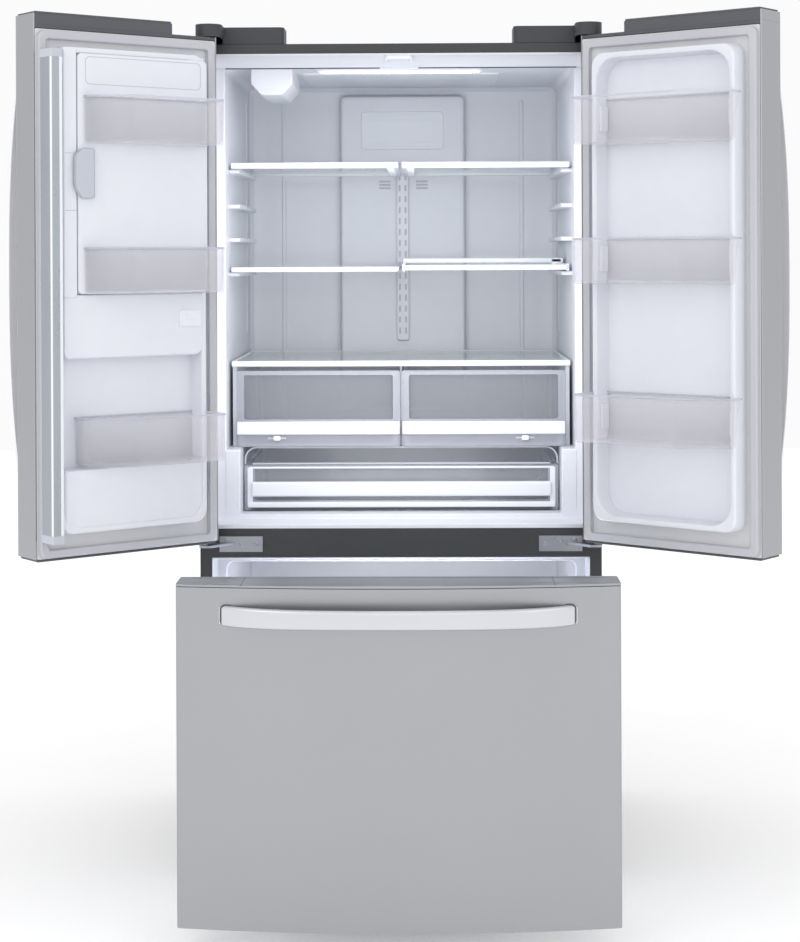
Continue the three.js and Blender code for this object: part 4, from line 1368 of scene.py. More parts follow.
    def slider(self, name: str) -> None:
        """Builds a humidity slider: a small knob with two grip lines.

        Args:
            name: "left" or "right".
        """
        node = "humidity_slider_" + name
        b = self.datum.box(node)
        knob = Solid().loft([
            loop("y", b.y0, (b.x0 + 2.5, b.x1 - 2.5, b.z0 + 1.5, b.z1 - 1.5), 2.5, 4),
            loop("y", b.y0 + 1.6, b.span("y", 0.4), 3.4, 4),
            loop("y", b.y1, b.span("y"), 3.4, 4),
        ])
        for x in (-2.5, 2.5):
            c = (b.x0 + b.x1) / 2 + x
            knob.box((c - 0.5, c + 0.5, b.y0 - 0.5, b.y0 + 0.6, b.z0 + 2.5, b.z1 - 2.5))
        self.dress(node + "_knob", knob, WHITE_ABS, node, [node], 0.3, 2)


@dataclass
class Pantry(Assembly):
    """The wide shallow drawer at the bottom of the fresh compartment."""


    def build(self) -> None:
        """Builds the tub, the window frame, the band and the ledge."""
        body = node = "pantry_drawer"
        b = self.datum.box(node)
        maker = Crispers(self.datum)
        tub = maker.tub(Box(-330, 330, 146, b.y1, 757, 848), 757, 847, 10)
        self.dress("pantry_tub", tub, TUB, body, [node], 0.4, 2)
        front = WINDOW_FRONT
        border = Solid()
        border.frame("y", b.span("y"), (b.x0 + 22, b.x1 - 22, 776, b.z1 - 8), front, 145, (4, 4), 5)
        self.dress("pantry_window_frame", border, WINDOW, body, (), 0.7, 2)
        pane = Solid().box((b.x0 + 18, b.x1 - 18, front + 5, front + 8, 772, b.z1 - 6), 3, "y")
        self.dress("pantry_window", pane, TUB, body, (), 0.3, 1)
        y = b.y0 + 0.2
        spans = (y + 2, front + 6, 786, 814.5), (y, front + 7, 784.5, 815.8)
        rails = Solid().bar("x", b.x0 + 16, b.x1 - 16, 2, spans, (3, 4.5))
        rails.box((b.x0 + 8, b.x1 - 8, y + 2.4, front + 4, 761, 773), 3, "x")
        rails.box((b.x0 + 10, b.x1 - 10, front - 1.4, front + 3, 843.5, 847.5), 1.5, "x")
        for side in (-1, 1):
            c = side * (b.x1 - 12)
            rails.box((c - 6, c + 6, front - 2, front + 6, 762, 846), 2.5, "z")
        self.dress("pantry_band", rails, BAND_ABS, body, (), 0.7, 2)
        toe = Solid().box((b.x0 + 14, b.x1 - 14, front - 1.6, front + 6, 755.2, 762.4), 1.5, "x")
        self.dress("pantry_toe_strip", toe, DARK_PP, body, (), 0.4, 1)


# ---------------------------------------------------------------- the doors


@dataclass
class Door(Assembly):
    """What both upper doors share: skin, caps, seal, inner sheet and handle.

    Attributes:
        side: -1 for the left door, 1 for the right.
        width: The door's width, in millimetres.
        edge: Its thickness at its edges.
        bow: How far its middle stands further out.
        height: How far the raised rim on the inner sheet stands in.
        notch: The level where the top steps down by the hinge.
    """

    side: int = 1
    width: float = 414.0
    edge: float = 78.4
    bow: float = 14.0
    height: float = 40.0
    notch: float = 1745.0

    def __post_init__(self) -> None:
        """Finds the door's own frame and name."""
        self.name = "left_door" if self.side < 0 else "right_door"
        self.datum = door_datum(self.side)

    def build(self) -> None:
        """Builds the pieces that both doors have."""
        self.skin()
        self.caps()
        self.seal()
        self.handle()

    def plan(self, inset: float = 0.0, back: float = 0.0, radius: float = 7.0) -> Flat:
        """Draws the door's plan: square at the back and bowed in front.

        Args:
            inset: How far in from the skin.
            back: Where the inner face is.
            radius: The radius of the two front corners.

        Returns:
            The outline in x and y.
        """
        return bowed((inset, self.width - inset), back, inset - self.edge, self.bow, (radius, 75), 24)

    def core(self, low: float, high: float) -> Solid:
        """Pours the door's foam between two levels, just inside the skin."""
        plan = [(x * 0.985 + 3.1, y * 0.97 - 2.0) for x, y in self.plan(2.4, -1.0, 6)]
        return Solid().extrude("z", plan, low, high)

    def skin(self) -> None:
        """Forms the steel skin round the front and sides, with its turned-in back edges."""
        node = self.name + "_shell"
        b = self.datum.box(node)
        outer, inner = self.plan(0.2), self.plan(2.2, 1.0, 5.2)
        outer, inner = outer[1:] + outer[:1], inner[1:] + inner[:1]
        low, high = b.z0 + 0.3, b.z1 - 0.3
        wall = Solid().extrude("z", outer + inner[::-1], low, self.notch)
        cut = 99.0
        outer, inner = ([p for p in line if p[0] >= cut] for line in (outer, inner))
        wall.extrude("z", outer + inner[::-1], self.notch, high)
        for x0, x1, top in ((0.4, 3.0, self.notch), (411.0, 413.6, high)):
            wall.box((x0, x1, -6, -0.2, low, top))
        self.dress(self.name + "_skin", wall, STEEL, self.name, [node], 0.5, 2)

    def caps(self) -> None:
        """Builds the moulded cap along the top, stepped down by the hinge, and the one underneath."""
        node = self.name + "_top_cap"
        b = self.datum.box(node)
        whole = self.plan(2.4, -0.4, 6)
        cap = Solid().extrude("z", whole, b.z0 + 0.4, self.notch - 0.4)
        far = [(max(x, 104.0), y) for x, y in whole]
        far = [p for k, p in enumerate(far) if k == 0 or p != far[k - 1]]
        cap.extrude("z", far, self.notch - 1, b.z1 - 4.2)
        lid = [(106 + (x - 104) * 0.99 if x < 110 else x - 1.5, y * 0.975 - 0.6) for x, y in far]
        cap.extrude("z", lid, b.z1 - 4.4, b.z1 - 0.2)
        self.dress(self.name + "_cap_top", cap, DARK_PP, self.name, [node], 1.0, 3)
        low = Solid().extrude("z", whole, 716.0, 720.0)
        foot = [(x * 0.985 + 3.1, y * 0.97 - 1.0) for x, y in whole]
        low.extrude("z", foot, 711.6, 716.2)
        self.dress(self.name + "_cap_bottom", low, DARK_PP, self.name, (), 0.8, 2)

    def seal(self) -> None:
        """Sweeps the bellows seal round the inner face."""
        node = self.name + "_gasket"
        seal = self.bellows(self.datum.box(node), 0.0, (9.6, 11.1, 9.8))
        self.dress(self.name + "_seal", seal, GASKET, self.name, [node], 0.4, 2)

    def handle(self) -> None:
        """Bends the bowed strap handle and closes its two mounts."""
        node = self.name + "_handle"
        b = self.datum.box(node)
        middle, half = (b.z0 + b.z1) / 2, (b.z1 - b.z0) / 2 - 1
        centre, wide = (b.x0 + b.x1) / 2, (b.x1 - b.x0) / 2 - 0.4
        root = -(self.edge + 15.5)
        seat, thick, count = root + 12.0, 11.0, 40
        loops = []
        for k in range(count + 1):
            t = -1 + 2 * k / count
            y = root + (b.y0 + 0.6 - root) * (1 - abs(t) ** 2.6)
            back = seat if abs(t) > 0.94 else min(y + thick, seat)
            span = (centre - wide, centre + wide, y, back)
            loops.append(loop("z", middle + half * t, span, (5.5, 5.5, 3, 3), 5))
        bar = Solid().loft(loops)
        # The strap's pale finish paints in the reflection of the bright room.
        self.dress(self.name + "_handle_strap", bar, BRIGHT_STEEL_PAINTED_REFLECTION, self.name, [node], 0.8, 3)

    def panel(self) -> Solid:
        """Returns the flat inner sheet behind the seal: a ring that ends under the rim."""
        return Solid().frame("y", (3.4, 410.6, 716.9, 1736.5), (58, 370, 772, 1694), -1.6, 0.0, (3, 30), 6)

    def rim(self, span: Sequence[float], walls: Sequence[float], radii: tuple[float, float]) -> Solid:
        """Forms the raised rim that holds the baskets: drafted outside, rounded on top and inside.

        Args:
            span: The rim's outer span at its root.
            walls: The rim's width at its left, right, bottom and top.
            radii: The outer and inner corner radius.

        Returns:
            The rim.
        """
        h = self.height
        left, right, low, high = walls
        x0, x1, z0, z1 = span

        def at(y: float, t: float, r: float) -> Loop:
            """Draws the rim's section at one level, t of the way from outside to inside."""
            return loop("y", y, (x0 + left * t, x1 - right * t, z0 + low * t, z1 - high * t), r, 8)

        ro, ri = radii
        steps = ((-0.4, 0.0, ro), (3, 0.05, ro), (h - 6, 0.14, ro), (h - 1.6, 0.22, ro), (h, 0.36, ro * 0.9),
                 (h, 0.64, ri), (h - 1.6, 0.8, ri), (h - 6, 0.9, ri), (3, 1.0, ri), (-0.4, 1.1, ri))
        return Solid().loft([at(*step) for step in steps], closed=True)

    def basket(self, node: str, body: str, back: float) -> None:
        """Moulds a clear basket with rounded corners, a cut-back front corner and a thick lip.

        Args:
            node: Its CAD node.
            body: The body that it moves with.
            back: The level of its back wall.
        """
        b = self.datum.box(node)
        side = b.x0 + 3.2
        flat = [(side, back), (b.x1, back), (b.x1, 52), (b.x1 - 66, b.y1), (side, b.y1)]
        outer = self.soften(flat, (3, 3, 10, 22, 14))

        def at(z: float, d: float) -> Loop:
            """Draws the basket's outline at one level, drawn in by d."""
            return lift("z", z, self.shrink(outer, d))

        low, high = b.z0 + 0.2, b.z1 - 0.2
        steps = ((low, 5.0), (low + 1.2, 2.4), (low + 5, 1.6), (high - 5, 0.3), (high - 4.4, 0.0),
                 (high - 0.5, 0.0), (high, 0.5), (high, 3.6), (high - 0.6, 4.0), (high - 6, 3.0),
                 (low + 7, 4.2), (low + 3.0, 8.0))
        tub = Solid().loft([at(*step) for step in steps])
        self.dress(node + "_tub", tub, STYRENE, body, [node], 0.4, 2)
        lip = Solid().loft([
            at(high - 4.0, -0.12), at(high - 0.6, -0.12), at(high + 0.1, 0.6), at(high + 0.1, 3.2),
            at(high - 0.8, 3.8), at(high - 4.0, 3.6),
        ], closed=True)
        self.dress(node + "_lip", lip, WINDOW, body, (), 0.3, 1)

    def soften(self, flat: Sequence[tuple[float, float]], radii: Sequence[float], steps: int = 6) -> Flat:
        """Rounds the corners of an outline.

        Args:
            flat: Its corners in order.
            radii: One radius for each corner.
            steps: Segments in each corner.

        Returns:
            The rounded outline.
        """
        points = []
        count = len(flat)
        for k in range(count):
            p = Vector(flat[k])
            a, b = Vector(flat[k - 1]) - p, Vector(flat[(k + 1) % count]) - p
            reach = min(radii[k], a.length * 0.48, b.length * 0.48)
            start, end = p + a.normalized() * reach, p + b.normalized() * reach
            for n in range(steps + 1):
                t = n / steps
                q = start * (1 - t) ** 2 + p * 2 * t * (1 - t) + end * t**2
                points.append((q.x, q.y))
        return points

    def shrink(self, flat: Sequence[tuple[float, float]], d: float) -> Flat:
        """Moves an outline's points inwards along their normals.

        Args:
            flat: The outline.
            d: How far.

        Returns:
            The moved outline.
        """
        count = len(flat)
        area = sum(flat[k - 1][0] * flat[k][1] - flat[k][0] * flat[k - 1][1] for k in range(count))
        sign = 1 if area > 0 else -1
        moved = []
        for k in range(count):
            a, b = Vector(flat[k - 1]), Vector(flat[(k + 1) % count])
            run = (b - a).normalized()
            moved.append((flat[k][0] - run.y * d * sign, flat[k][1] + run.x * d * sign))
        return moved


@dataclass
class RightDoor(Door):
    """The right door: three full-width baskets between one tall rim."""

    side: int = 1

    def build(self) -> None:
        """Builds the right door."""
        super().build()
        self.inner_sheet()
        for name in ("top", "middle", "bottom"):
            self.basket("right_basket_" + name, "right_door", 2.2)

    def inner_sheet(self) -> None:
        """Forms the inner sheet with its rim, its recessed floor and the basket bosses."""
        sheet = self.panel()
        liner = self.rim((48, 379.5, 762, 1704), (17, 17, 17, 17), (26, 44))
        liner.loft([
            loop("y", -1.0, (58, 370, 774, 1693), 30, 6),
            loop("y", 0.6, (60, 368, 776, 1691), 30, 6),
        ])
        for z in (972.0, 1290.0, 1570.0):
            for x0, x1 in ((64, 69), (359, 364)):
                liner.box((x0, x1, 6, 30, z - 26, z + 26), 2.4, "y")
        self.dress("right_door_inner_rim", liner, LINER, "right_door", ["right_door_liner"], 0.6, 2)
        self.dress("right_door_inner_sheet", sheet, FLANGE, "right_door", (), 0.5, 2)
        self.dress("right_door_foam", self.core(720.5, 1736.0), FOAM, "right_door", (), 0.0)


@dataclass
class LeftDoor(Door):
    """The left door: ice maker, ice bin and dispenser behind an insulated inner door."""

    side: int = -1

    def build(self) -> None:
        """Builds the left door."""
        super().build()
        self.inner_sheet()
        self.ice_room()
        self.ice_door()
        self.mullion()
        self.dispenser()
        self.basket("left_basket_bottom", "left_door", 2.2)
        self.basket("left_basket_top", "ice_door", 45.6)
        self.basket("left_basket_middle", "ice_door", 45.6)

    def skin(self) -> None:
        """Forms the steel skin with the dispenser's window cut through it."""
        node = self.name + "_shell"
        self.dress(self.name + "_skin", Solid().cad(self.datum, node), STEEL, self.name, [node], 0.5, 2)

    def inner_sheet(self) -> None:
        """Forms the inner sheet: rim, the block under the ice room, the recess and the lower panel."""
        sheet = self.panel()
        node = "left_door_liner"
        liner = self.rim((48, 379.5, 762, 1704), (17, 8, 17, 17), (26, 34))
        liner.frame("y", (56, 372, 1216, 1698), (64, 336, 1234, 1686), -0.5, 31.5, (8, 16), 5)
        liner.loft([
            loop("y", -1, (56, 373, 1100, 1226), (20, 12, 8, 8), 6),
            loop("y", 36, (57, 372, 1101, 1225), (20, 12, 8, 8), 6),
            loop("y", 39, (59, 370.5, 1103, 1223.5), (19, 11, 7, 7), 6),
            loop("y", 40, (62, 368, 1106, 1221), (17, 9, 6, 6), 6),
        ])
        liner.loft([
            loop("y", -1, (58, 373, 770, 889), (34, 8, 8, 8), 8),
            loop("y", 35, (60, 371, 773, 888), (34, 8, 8, 8), 8),
            loop("y", 38.4, (63, 368, 776, 886), (33, 7, 7, 7), 8),
            loop("y", 39.6, (68, 364, 781, 882), (30, 6, 6, 6), 8),
        ])
        liner.loft([
            loop("y", -1.0, (60, 372, 884, 1104), 8, 6),
            loop("y", 0.8, (62, 371, 886, 1102), 8, 6),
        ])
        liner.loft([
            loop("y", 30, (344, 373, 1219, 1700), 5, 5),
            loop("y", 41.0, (344, 373, 1219, 1700), 5, 5),
            loop("y", 43.2, (346, 371, 1221, 1698), 4, 5),
        ])
        self.dress("left_door_inner_rim", liner, LINER, "left_door", [node], 0.6, 2)
        self.dress("left_door_inner_sheet", sheet, FLANGE, "left_door", (), 0.5, 2)
        core = self.core(720.5, 940.0)
        for x0, x1, y in ((6, 59, -2), (341, 408, -2), (58, 342, -57)):
            core.box((x0, x1, -76, y, 1410, 1735))
        self.dress("left_door_foam", core, FOAM, "left_door", (), 0.0)
        lines = Solid()
        for z in (1386.0, 1496.0):
            lines.box((346, 370, 42.4, 43.45, z, z + 1.4))
        self.dress("side_strip_seams", lines, GREY_ABS, "left_door", (), 0.0)
        vent = Solid()
        vent.box((66, 116, 38, 43.0, 1158, 1190), 4, "y")
        vent.box((70, 112, 42, 44.2, 1162, 1172), 3, "y")
        for x in (76, 98):
            vent.rod("y", (x, 1182), 2.6, 42, 44.0, 16)
        self.dress("block_sensor_box", vent, WHITE_ABS, "left_door", (), 0.6, 2)

    def ice_room(self) -> None:
        """Builds the walls of the ice room, the ice maker over it and the bin that catches the ice."""
        room = Solid()
        span, inside = (60.5, 339.5, 1235, 1685), (63.5, 336.5, 1238, 1682)
        room.loft([
            loop("y", -0.5, span, 14, 6), loop("y", -54.5, span, 14, 6),
            loop("y", -52.2, inside, 12, 6), loop("y", -0.5, inside, 12, 6),
        ], closed=True)
        room.box((62, 338, -54.6, -52.0, 1236, 1684), 12, "y")
        self.dress("ice_room_walls", room, LINER, "left_door", (), 0.5, 2)
        b = self.datum.box("ice_maker")
        maker = Solid().cad(self.datum, "ice_maker")
        self.dress("ice_maker_body", maker, WHITE_ABS, "left_door", ["ice_maker"], 1.0, 2)
        tray = Solid()
        for k in range(7):
            x = b.x0 + 40 + 28 * k
            tray.box((x - 1.2, x + 1.2, b.y1 - 3, b.y1 + 0.6, b.z0 + 14, b.z0 + 52), 1.0, "y")
        tray.box((b.x0 + 24, b.x1 - 24, b.y1 - 3, b.y1 + 0.4, b.z0 + 60, b.z0 + 66), 2, "y")
        tray.rod("y", (b.x1 - 26, b.z0 + 100), 6, b.y1 - 2, b.y1 + 1.0)
        self.dress("ice_maker_trims", tray, GREY_ABS, "left_door", (), 0.4, 2)
        c = self.datum.box("ice_bin")
        tub = Solid().cad(self.datum, "ice_bin")
        self.dress("ice_bin_tub", tub, STYRENE, "left_door", ["ice_bin"], 1.2, 3)
        rim = (140, 260, c.z1 - 60, c.z1 - 22)
        grip = Solid().frame("y", rim, grown(rim, -8), c.y1 - 2.5, c.y1 + 0.8, (8, 5), 5)
        self.dress("ice_bin_grip", grip, GREY_ABS, "left_door", (), 0.6, 2)

    def ice_door(self) -> None:
        """Builds the insulated inner door over the ice room and the latch that holds it."""
        b = self.datum.box("ice_door")
        span = (50.0, 343.0, 1225.4, 1690.0)
        x0, x1, z0, z1 = span
        slab = Solid().loft([
            loop("y", b.y0 + 0.3, grown(span, -2), 9, 6),
            loop("y", b.y0 + 1.6, grown(span, -0.4), 10, 6),
            loop("y", b.y1 - 2.6, grown(span, -0.4), 10, 6),
            loop("y", b.y1 - 0.8, grown(span, -1.6), 9, 6),
            loop("y", b.y1 - 0.1, grown(span, -4), 7, 6),
        ])
        for z in (b.z0, b.z1 - 8):
            slab.rod("z", (57, 36), 2.8, z, z + 8)
        self.dress("ice_room_door", slab, LINER, "ice_door", ["ice_door"], 0.5, 2)
        rim = (x0 + 12, x1 - 9, z0 + 8, z1 - 8)
        seal = Solid().frame("y", rim, grown(rim, -8), b.y0 - 1.0, b.y0 + 1, (12, 8), 5)
        self.dress("ice_room_door_seal", seal, GASKET, "ice_door", (), 0.8, 2)
        rim = (x0 + 16, x1 - 16, 1630, 1684)
        line = Solid().frame("y", rim, grown(rim, -1.4), b.y1 - 0.8, b.y1 + 0.15, (10, 9), 6)
        self.dress("ice_room_door_crease", line, GREY_ABS, "ice_door", (), 0.0)
        c = self.datum.box("ice_door_latch")
        flat = [(c.x0, c.z0), (c.x0, c.z1), (c.x1 - 14, c.z1), (c.x1, c.z1 - 14), (c.x1, c.z0 + 22),
                (c.x1 - 14, c.z0)]
        flat = self.soften(flat, (4, 4, 5, 6, 8, 6), 4)
        latch = Solid().loft([
            lift("y", c.y0 + 0.2, self.shrink(flat, 1.0)),
            lift("y", c.y0 + 2, flat),
            lift("y", c.y1 - 3.4, flat),
            lift("y", c.y1 - 1.0, self.shrink(flat, 1.4)),
            lift("y", c.y1 - 0.1, self.shrink(flat, 3.6)),
        ])
        self.dress("ice_room_latch", latch, GREY_ABS, "ice_door_latch", ["ice_door_latch"], 0.3, 2)

    def mullion(self) -> None:
        """Builds the folding mullion: a white body, a grey metal strip on it and its end piece."""
        b = self.datum.box("mullion_bar")
        body = Solid().bar("z", b.z0 + 0.2, b.z1 - 0.2, 1.2, (b.span("z", 1.2), b.span("z")), (3, 3.5))
        self.dress("mullion_body", body, WHITE_ABS, "mullion_bar", ["mullion_bar"], 0.5, 2)
        strip = Solid().box((b.x1 - 0.6, b.x1 + 0.5, b.y0 + 4, b.y1 - 4, b.z0 + 6, b.z1 - 6), 0.5, "z")
        strip.box((b.x0 + 8, b.x1 - 2.5, b.y1 - 0.6, b.y1 + 0.5, b.z0 + 6, b.z1 - 6), 0.5, "z")
        self.dress("mullion_strip", strip, ZINC, "mullion_bar", (), 0.3, 2)
        ends = Solid()
        for z in (b.z0 - 0.2, b.z1 - 15.8):
            ends.box((b.x0 - 0.5, b.x1 + 0.6, b.y0 - 0.5, b.y1 + 0.6, z, z + 16), 3.5, "z")
        self.dress("mullion_end_pieces", ends, GREY_ABS, "mullion_bar", (), 0.6, 2)

    def dispenser(self) -> None:
        """Builds the dispenser in the door's face: bezel, niche, control panel, spout, tray and lever."""
        b = self.datum.box("dispenser_housing")
        housing = Solid().cad(self.datum, "dispenser_housing")
        self.dress("dispenser_niche", housing, BLACK_ABS, "left_door", ["dispenser_housing"], 1.2, 3)
        bezel = Solid().frame("y", b.span("y"), b.span("y", 5), b.y0 - 1.2, b.y0 + 3, (9, 6), 6)
        # The bezel takes the strap's pale finish, whose brightness is a painted reflection.
        self.dress("dispenser_bezel", bezel, BRIGHT_STEEL_PAINTED_REFLECTION, "left_door", (), 0.8, 3)
        panel = Solid()
        panel.loft([
            loop("y", b.y0 + 2, (b.x0 + 9, b.x1 - 9, 1240, b.z1 - 10), 5, 5),
            loop("y", b.y0 - 0.4, (b.x0 + 10, b.x1 - 10, 1241, b.z1 - 11), 5, 5),
        ])
        self.dress("dispenser_glass_panel", panel, BLACK_ABS, "left_door", (), 0.5, 3)
        marks = Solid()
        for row in range(3):
            for k in range(4):
                x = b.x0 + 34 + 42 * k
                z = 1270 + 38 * row
                marks.rod("y", (x, z), 5.5 if row else 7.0, b.y0 - 0.9, b.y0 + 0.4, 28)
        self.dress("dispenser_keys", marks, GREY_ABS, "left_door", (), 0.2, 2)
        steps = ((1226, 27), (1214, 26), (1196, 17), (1182, 12.5), (1181, 9.5), (1196, 8.5))
        spout = Solid().loft([ring("z", z, (207, -62), r, 32) for z, r in steps])
        self.dress("dispenser_spout", spout, BLACK_ABS, "left_door", (), 0.4, 2)
        tray = Solid()
        tray.frame("z", (126, 288, -90, -34), (131, 283, -86, -38), 957, 961, (6, 3), 4)
        x = 137.0
        while x < 281:
            tray.box((x - 1.3, x + 1.3, -87, -37, 958, 961))
            x += 8.0
        self.dress("dispenser_drip_grille", tray, GREY_ABS, "left_door", (), 0.4, 1)
        lever = Solid().cad(self.datum, "dispenser_lever")
        self.dress("dispenser_paddle", lever, GREY_ABS, "dispenser_lever", ["dispenser_lever"], 1.2, 3)


# ---------------------------------------------------------------- the freezer drawer


@dataclass
class FreezerDrawer(Assembly):
    """The pulled-out freezer drawer: bowed front, bar handle, arms, bin and upper tray.

    Attributes:
        edge: The front's thickness at its edges, in millimetres.
        bow: How far its middle stands further out.
        half: Half the width that the bow is struck over.
    """

    edge: float = 78.4
    bow: float = 33.0
    half: float = 406.0

    def __post_init__(self) -> None:
        """Reads the front's place from its CAD nodes."""
        self.b = self.datum.box("freezer_front_shell")

    def build(self) -> None:
        """Builds the drawer."""
        self.front()
        self.seal()
        self.handle()
        self.arms()
        self.bin()
        self.tray()

    def plan(self, inset: float = 0.0, drop: float = 0.0) -> Flat:
        """Draws the bowed front's plan.

        Args:
            inset: How far in from the skin.
            drop: How far the inner face is moved out.

        Returns:
            The outline in x and y.
        """
        face = self.b.y1 - self.edge + inset
        sides = (inset - self.b.x1, self.b.x1 - inset)
        return bowed(sides, self.b.y1 - drop, face, self.bow - 1, (8.0, 68), 36)

    def face_at(self, x: float) -> float:
        """Returns the level of the bowed face at x."""
        return self.b.y1 - self.edge - (self.bow - 1) * (1 - (x / self.half) ** 2)

    def front(self) -> None:
        """Forms the steel front, its core, its top trim and its inner panel."""
        b = self.b
        outer, inner = self.plan(0.2), self.plan(2.4, 1.0)
        outer, inner = outer[1:] + outer[:1], inner[1:] + inner[:1]
        wall = Solid().extrude("z", outer + inner[::-1], b.z0 + 0.3, b.z1 - 6.2)
        self.dress("drawer_front_skin", wall, STEEL, "freezer_drawer", ["freezer_front_shell"], 0.6, 2)
        steps = ((6.0, 2.0), (5.0, 0.2), (1.2, 0.2), (0.2, 2.0))
        top = Solid().loft([lift("z", b.z1 - down, self.plan(inset)) for down, inset in steps])
        self.dress("drawer_top_trim", top, STEEL, "freezer_drawer", (), 0.0)
        seams = Solid()
        for x in (-290, 290):
            seams.box((x - 0.6, x + 0.6, b.y1 - self.edge - 20, b.y1 - 2, b.z1 - 1.4, b.z1 + 0.1))
        seams.box((-388, 388, b.y1 - 16, b.y1 - 15, b.z1 - 1.4, b.z1 + 0.1))
        self.dress("drawer_top_seams", seams, DARK_PP, "freezer_drawer", (), 0.0)
        core = Solid()
        body = [(x * 0.992, y + (1.5 if y > b.y1 - 1 else 3.0)) for x, y in self.plan(2.6, 3.0)]
        core.extrude("z", body, b.z0 + 0.6, b.z1 - 7)
        y = b.y1
        core.loft([
            loop("y", y - 3, (b.x0 + 3.6, b.x1 - 3.6, b.z0 + 0.5, b.z1 - 7), 3, 5),
            loop("y", y - 0.2, (b.x0 + 3.6, b.x1 - 3.6, b.z0 + 0.5, b.z1 - 7), 3, 5),
        ])
        core.loft([
            loop("y", y - 1, (-372, 372, 84, 656), 18, 6),
            loop("y", y + 5, (-368, 368, 88, 652), 18, 6),
            loop("y", y + 9.6, (-352, 352, 104, 636), 16, 6),
            loop("y", y + 10.4, (-346, 346, 110, 630), 14, 6),
        ])
        self.dress("drawer_inner_panel", core, FLANGE, "freezer_drawer", ["freezer_front_liner"], 0.7, 2)

    def seal(self) -> None:
        """Sweeps the bellows seal round the drawer's inner face."""
        node = "freezer_gasket"
        b = self.datum.box(node)
        seal = self.bellows(b, b.y0, (9.4, 10.8, 9.6))
        self.dress("drawer_seal", seal, GASKET, "freezer_drawer", [node], 0.4, 2)

    def handle(self) -> None:
        """Bends the bar handle, bowed with the front, and sets dark pockets behind its ends: the mounts, and
        a painted shadow in the gap under the bar's ends.
        """
        node = "freezer_handle"
        b = self.datum.box(node)
        middle, tall = (b.z0 + b.z1) / 2, (b.z1 - b.z0) / 2 - 0.5
        half, count = b.x1 - 0.6, 56
        reach = b.y0 + 4.6 - self.face_at(0)
        bar = []
        for k in range(count + 1):
            t = -1 + 2 * k / count
            skin = self.face_at(half * t)
            y = skin - 4 + reach * (1 - abs(t) ** 5)
            up = tall - 1.375 * (1 - t**2) - 3 * (abs(t) > 0.985)
            rear = min(y + 11, skin + 0.5) if abs(t) < 0.955 else skin + 1.5
            bar.append(loop("x", half * t, (y, rear, middle - up, middle + up), (6.5, 3, 3, 6.5), 5))
        self.dress("drawer_handle_bar", Solid().loft(bar), STEEL_BAR, "freezer_drawer", [node], 0.8, 3)
        # Dark boxes behind the bar's ends: the handle's mounts, and a painted shadow in the gap under the
        # bar.
        pockets = Solid()
        for side in (-1, 1):
            x = side * (half - 14)
            skin = self.face_at(x)
            pockets.box((x - 12, x + 12, skin - 6.0, skin + 3, b.z0 + 2.5, b.z1 + 0.6), 8, "y")
        self.dress("drawer_handle_mounts_painted_shadow", pockets, DARK_PP, "freezer_drawer", (), 0.8, 2)

    def arms(self) -> None:
        """Builds the two arms that carry the bin, with the screws that hold it."""
        node = "freezer_carriage"
        b = self.datum.box(node)
        arms = Solid().cad(self.datum, node)
        for side in (-1, 1):
            for y in (b.y0 + 60, b.y0 + 250, b.y1 - 90):
                arms.screw("x", (side * 340.2, y, 401), 4.0, -side)
        self.dress("drawer_arms", arms, ZINC, "freezer_drawer", [node], 1.0, 2)

    def bin(self) -> None:
        """Moulds the deep bin with its rolled rim and a ribbed floor."""
        node = "freezer_bin"
        b = self.datum.box(node)
        low, high = b.z0 + 0.2, b.z1 - 0.2

        def at(z: float, d: float, r: float) -> Loop:
            """Draws the bin's outline at one level, drawn in by d."""
            return loop("z", z, (-328 + d, 328 - d, b.y0 + d, b.y1 - d), r, 6)

        def rim(z: float, d: float) -> Loop:
            """Draws the rolled rim's outline at one level."""
            return loop("z", z, (b.x0 + d, b.x1 - d, b.y0 + 0.2 + d * 0.1, b.y1 - 0.2 - d * 0.1), 10, 6)

        tub = Solid().loft([
            at(low, 26, 14), at(low + 2, 20, 16), at(low + 10, 16, 18), at(high - 10, 1.5, 18),
            rim(high - 7, 2), rim(high - 5, 0.2), rim(high - 0.8, 0.2), rim(high, 1.2),
            at(high, 3.0, 17), at(high - 1.5, 4.2, 16), at(low + 12, 19.5, 15), at(low + 4, 25, 13),
        ])
        for k in range(7):
            y = b.y0 + 70 + 54 * k
            tub.box((-270, 270, y - 2, y + 2, low + 3.5, low + 7), 1.8, "z")
        self.dress("freezer_bin_tub", tub, WHITE_ABS, "freezer_drawer", [node], 0.6, 2)

    def tray(self) -> None:
        """Moulds the upper tray that slides over the bin."""
        node = "freezer_tray"
        b = self.datum.box(node)
        low, high = b.z0 + 0.2, b.z1 - 0.2
        steps = ((low, 18, 10), (low + 1.6, 14, 12), (low + 8, 11, 14), (high - 9, 4, 14),
                 (high - 8, 0.2, 12), (high - 0.8, 0.2, 12), (high, 1.0, 12), (high, 5.4, 11),
                 (high - 1, 6.2, 11), (low + 10, 13.6, 11), (low + 3, 19, 9))
        tub = Solid().loft([loop("z", z, b.span("z", d), r, 6) for z, d, r in steps])
        self.dress("freezer_tray_tub", tub, WHITE_ABS, "freezer_tray", [node], 0.5, 2)


# ---------------------------------------------------------------- studio


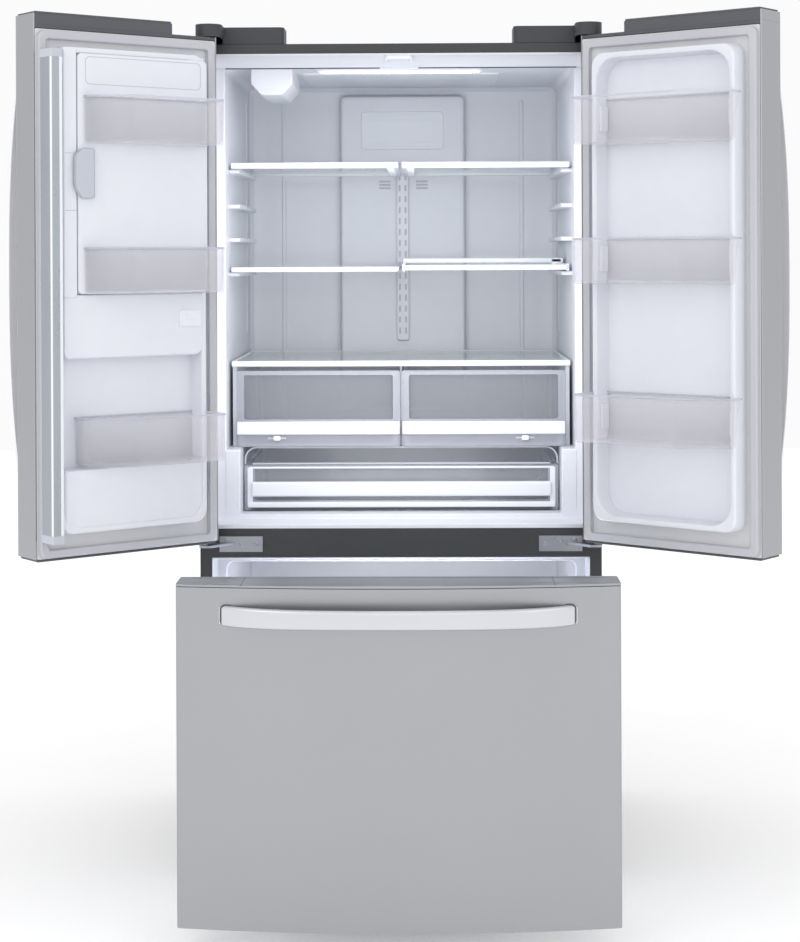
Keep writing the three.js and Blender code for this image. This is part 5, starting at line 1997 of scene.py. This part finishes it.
@dataclass(frozen=True)
class Studio:
    """A pale floor, soft lights and the camera.

    Attributes:
        floor: The floor's colour.
        room: The colour of the light from all round.
        strength: How strong that light is.
    """

    floor: str = "#FAFAFA"
    room: str = "#FBFBFC"
    strength: float = 1.0

    def build(self) -> None:
        """Sets up the floor, the lights and the camera."""
        self.ground()
        self.lamps()
        self.camera()

    def ground(self) -> None:
        """Lays the floor and lights the room round it."""
        solid = Solid().box((-9000, 9000, -7000, 9000, -20, 0))
        finish = Plastic("matt_studio_floor", "floor", self.floor, 0.75, 0.05, 0.01, 4.0, 0.01, 0.0, 0.14)
        solid.bm.transform(Matrix.Scale(MM, 4))
        mesh = bpy.data.meshes.new("studio_floor")
        solid.bm.to_mesh(mesh)
        solid.bm.free()
        mesh.materials.append(finish.material())
        ground = bpy.data.objects.new("studio_floor", mesh)
        bpy.context.scene.collection.objects.link(ground)
        world = bpy.data.worlds.new("studio_room")
        world.use_nodes = True
        background = world.node_tree.nodes["Background"]
        background.inputs[0].default_value = linear(self.room)
        background.inputs[1].default_value = self.strength
        bpy.context.scene.world = world

    def lamps(self) -> None:
        """Hangs three large soft lights round the object, and one before each open compartment."""
        self.lamp("key", (-2.6, -3.6, 3.0), (0, 0, 1.0), 2.6, 22)
        self.lamp("fill", (2.8, -3.4, 2.2), (0, 0, 0.9), 2.6, 12)
        self.lamp("front", (0, -4.7, 2.1), (0, 0.3, 1.1), 1.8, 8)
        self.lamp("fresh_compartment", (0, -0.17, 1.24), (0, 0.5, 1.2), 0.7, 2.1)
        self.lamp("freezer_compartment", (0, 0.0, 0.64), (0, 0.3, 0.4), 0.4, 4.5)

    def lamp(self, name: str, at: Point, aim: Point, size: float, power: float) -> None:
        """Hangs one square area light.

        Args:
            name: The light's name.
            at: Where it hangs, in metres.
            aim: What it points at.
            size: Its side, in metres.
            power: Its power, in watts.
        """
        data = bpy.data.lights.new(name, "AREA")
        data.size = size
        data.energy = power
        light = bpy.data.objects.new(name, data)
        light.location = at
        light.rotation_euler = (Vector(aim) - Vector(at)).to_track_quat("-Z", "Y").to_euler()
        light.visible_camera = False
        bpy.context.scene.collection.objects.link(light)

    def camera(self) -> None:
        """Stands the camera in front, a little above the middle."""
        data = bpy.data.cameras.new("camera")
        data.lens = 75.26
        data.shift_y = -0.2228
        data.clip_end = 60
        camera = bpy.data.objects.new("camera", data)
        turn = Matrix.Rotation(math.radians(0.726), 4, "Z")
        tilt = Matrix.Rotation(math.radians(90 - 0.163), 4, "X")
        roll = Matrix.Rotation(math.radians(-0.241), 4, "Z")
        camera.matrix_world = Matrix.Translation((0.05255, -4.1855, 1.2977)) @ turn @ tilt @ roll
        bpy.context.scene.collection.objects.link(camera)
        bpy.context.scene.camera = camera
        bpy.context.scene.view_settings.view_transform = "Standard"


def main() -> None:
    """Builds the refrigerator from the case outwards, then the studio round it."""
    logging.basicConfig(level=logging.INFO, format="%(name)s: %(message)s")
    for kind in (Case, Hinges, Liners, Shelves, Crispers, Pantry, LeftDoor, RightDoor, FreezerDrawer):
        kind().build()
    Studio().build()


if __name__ == "__main__":
    main()
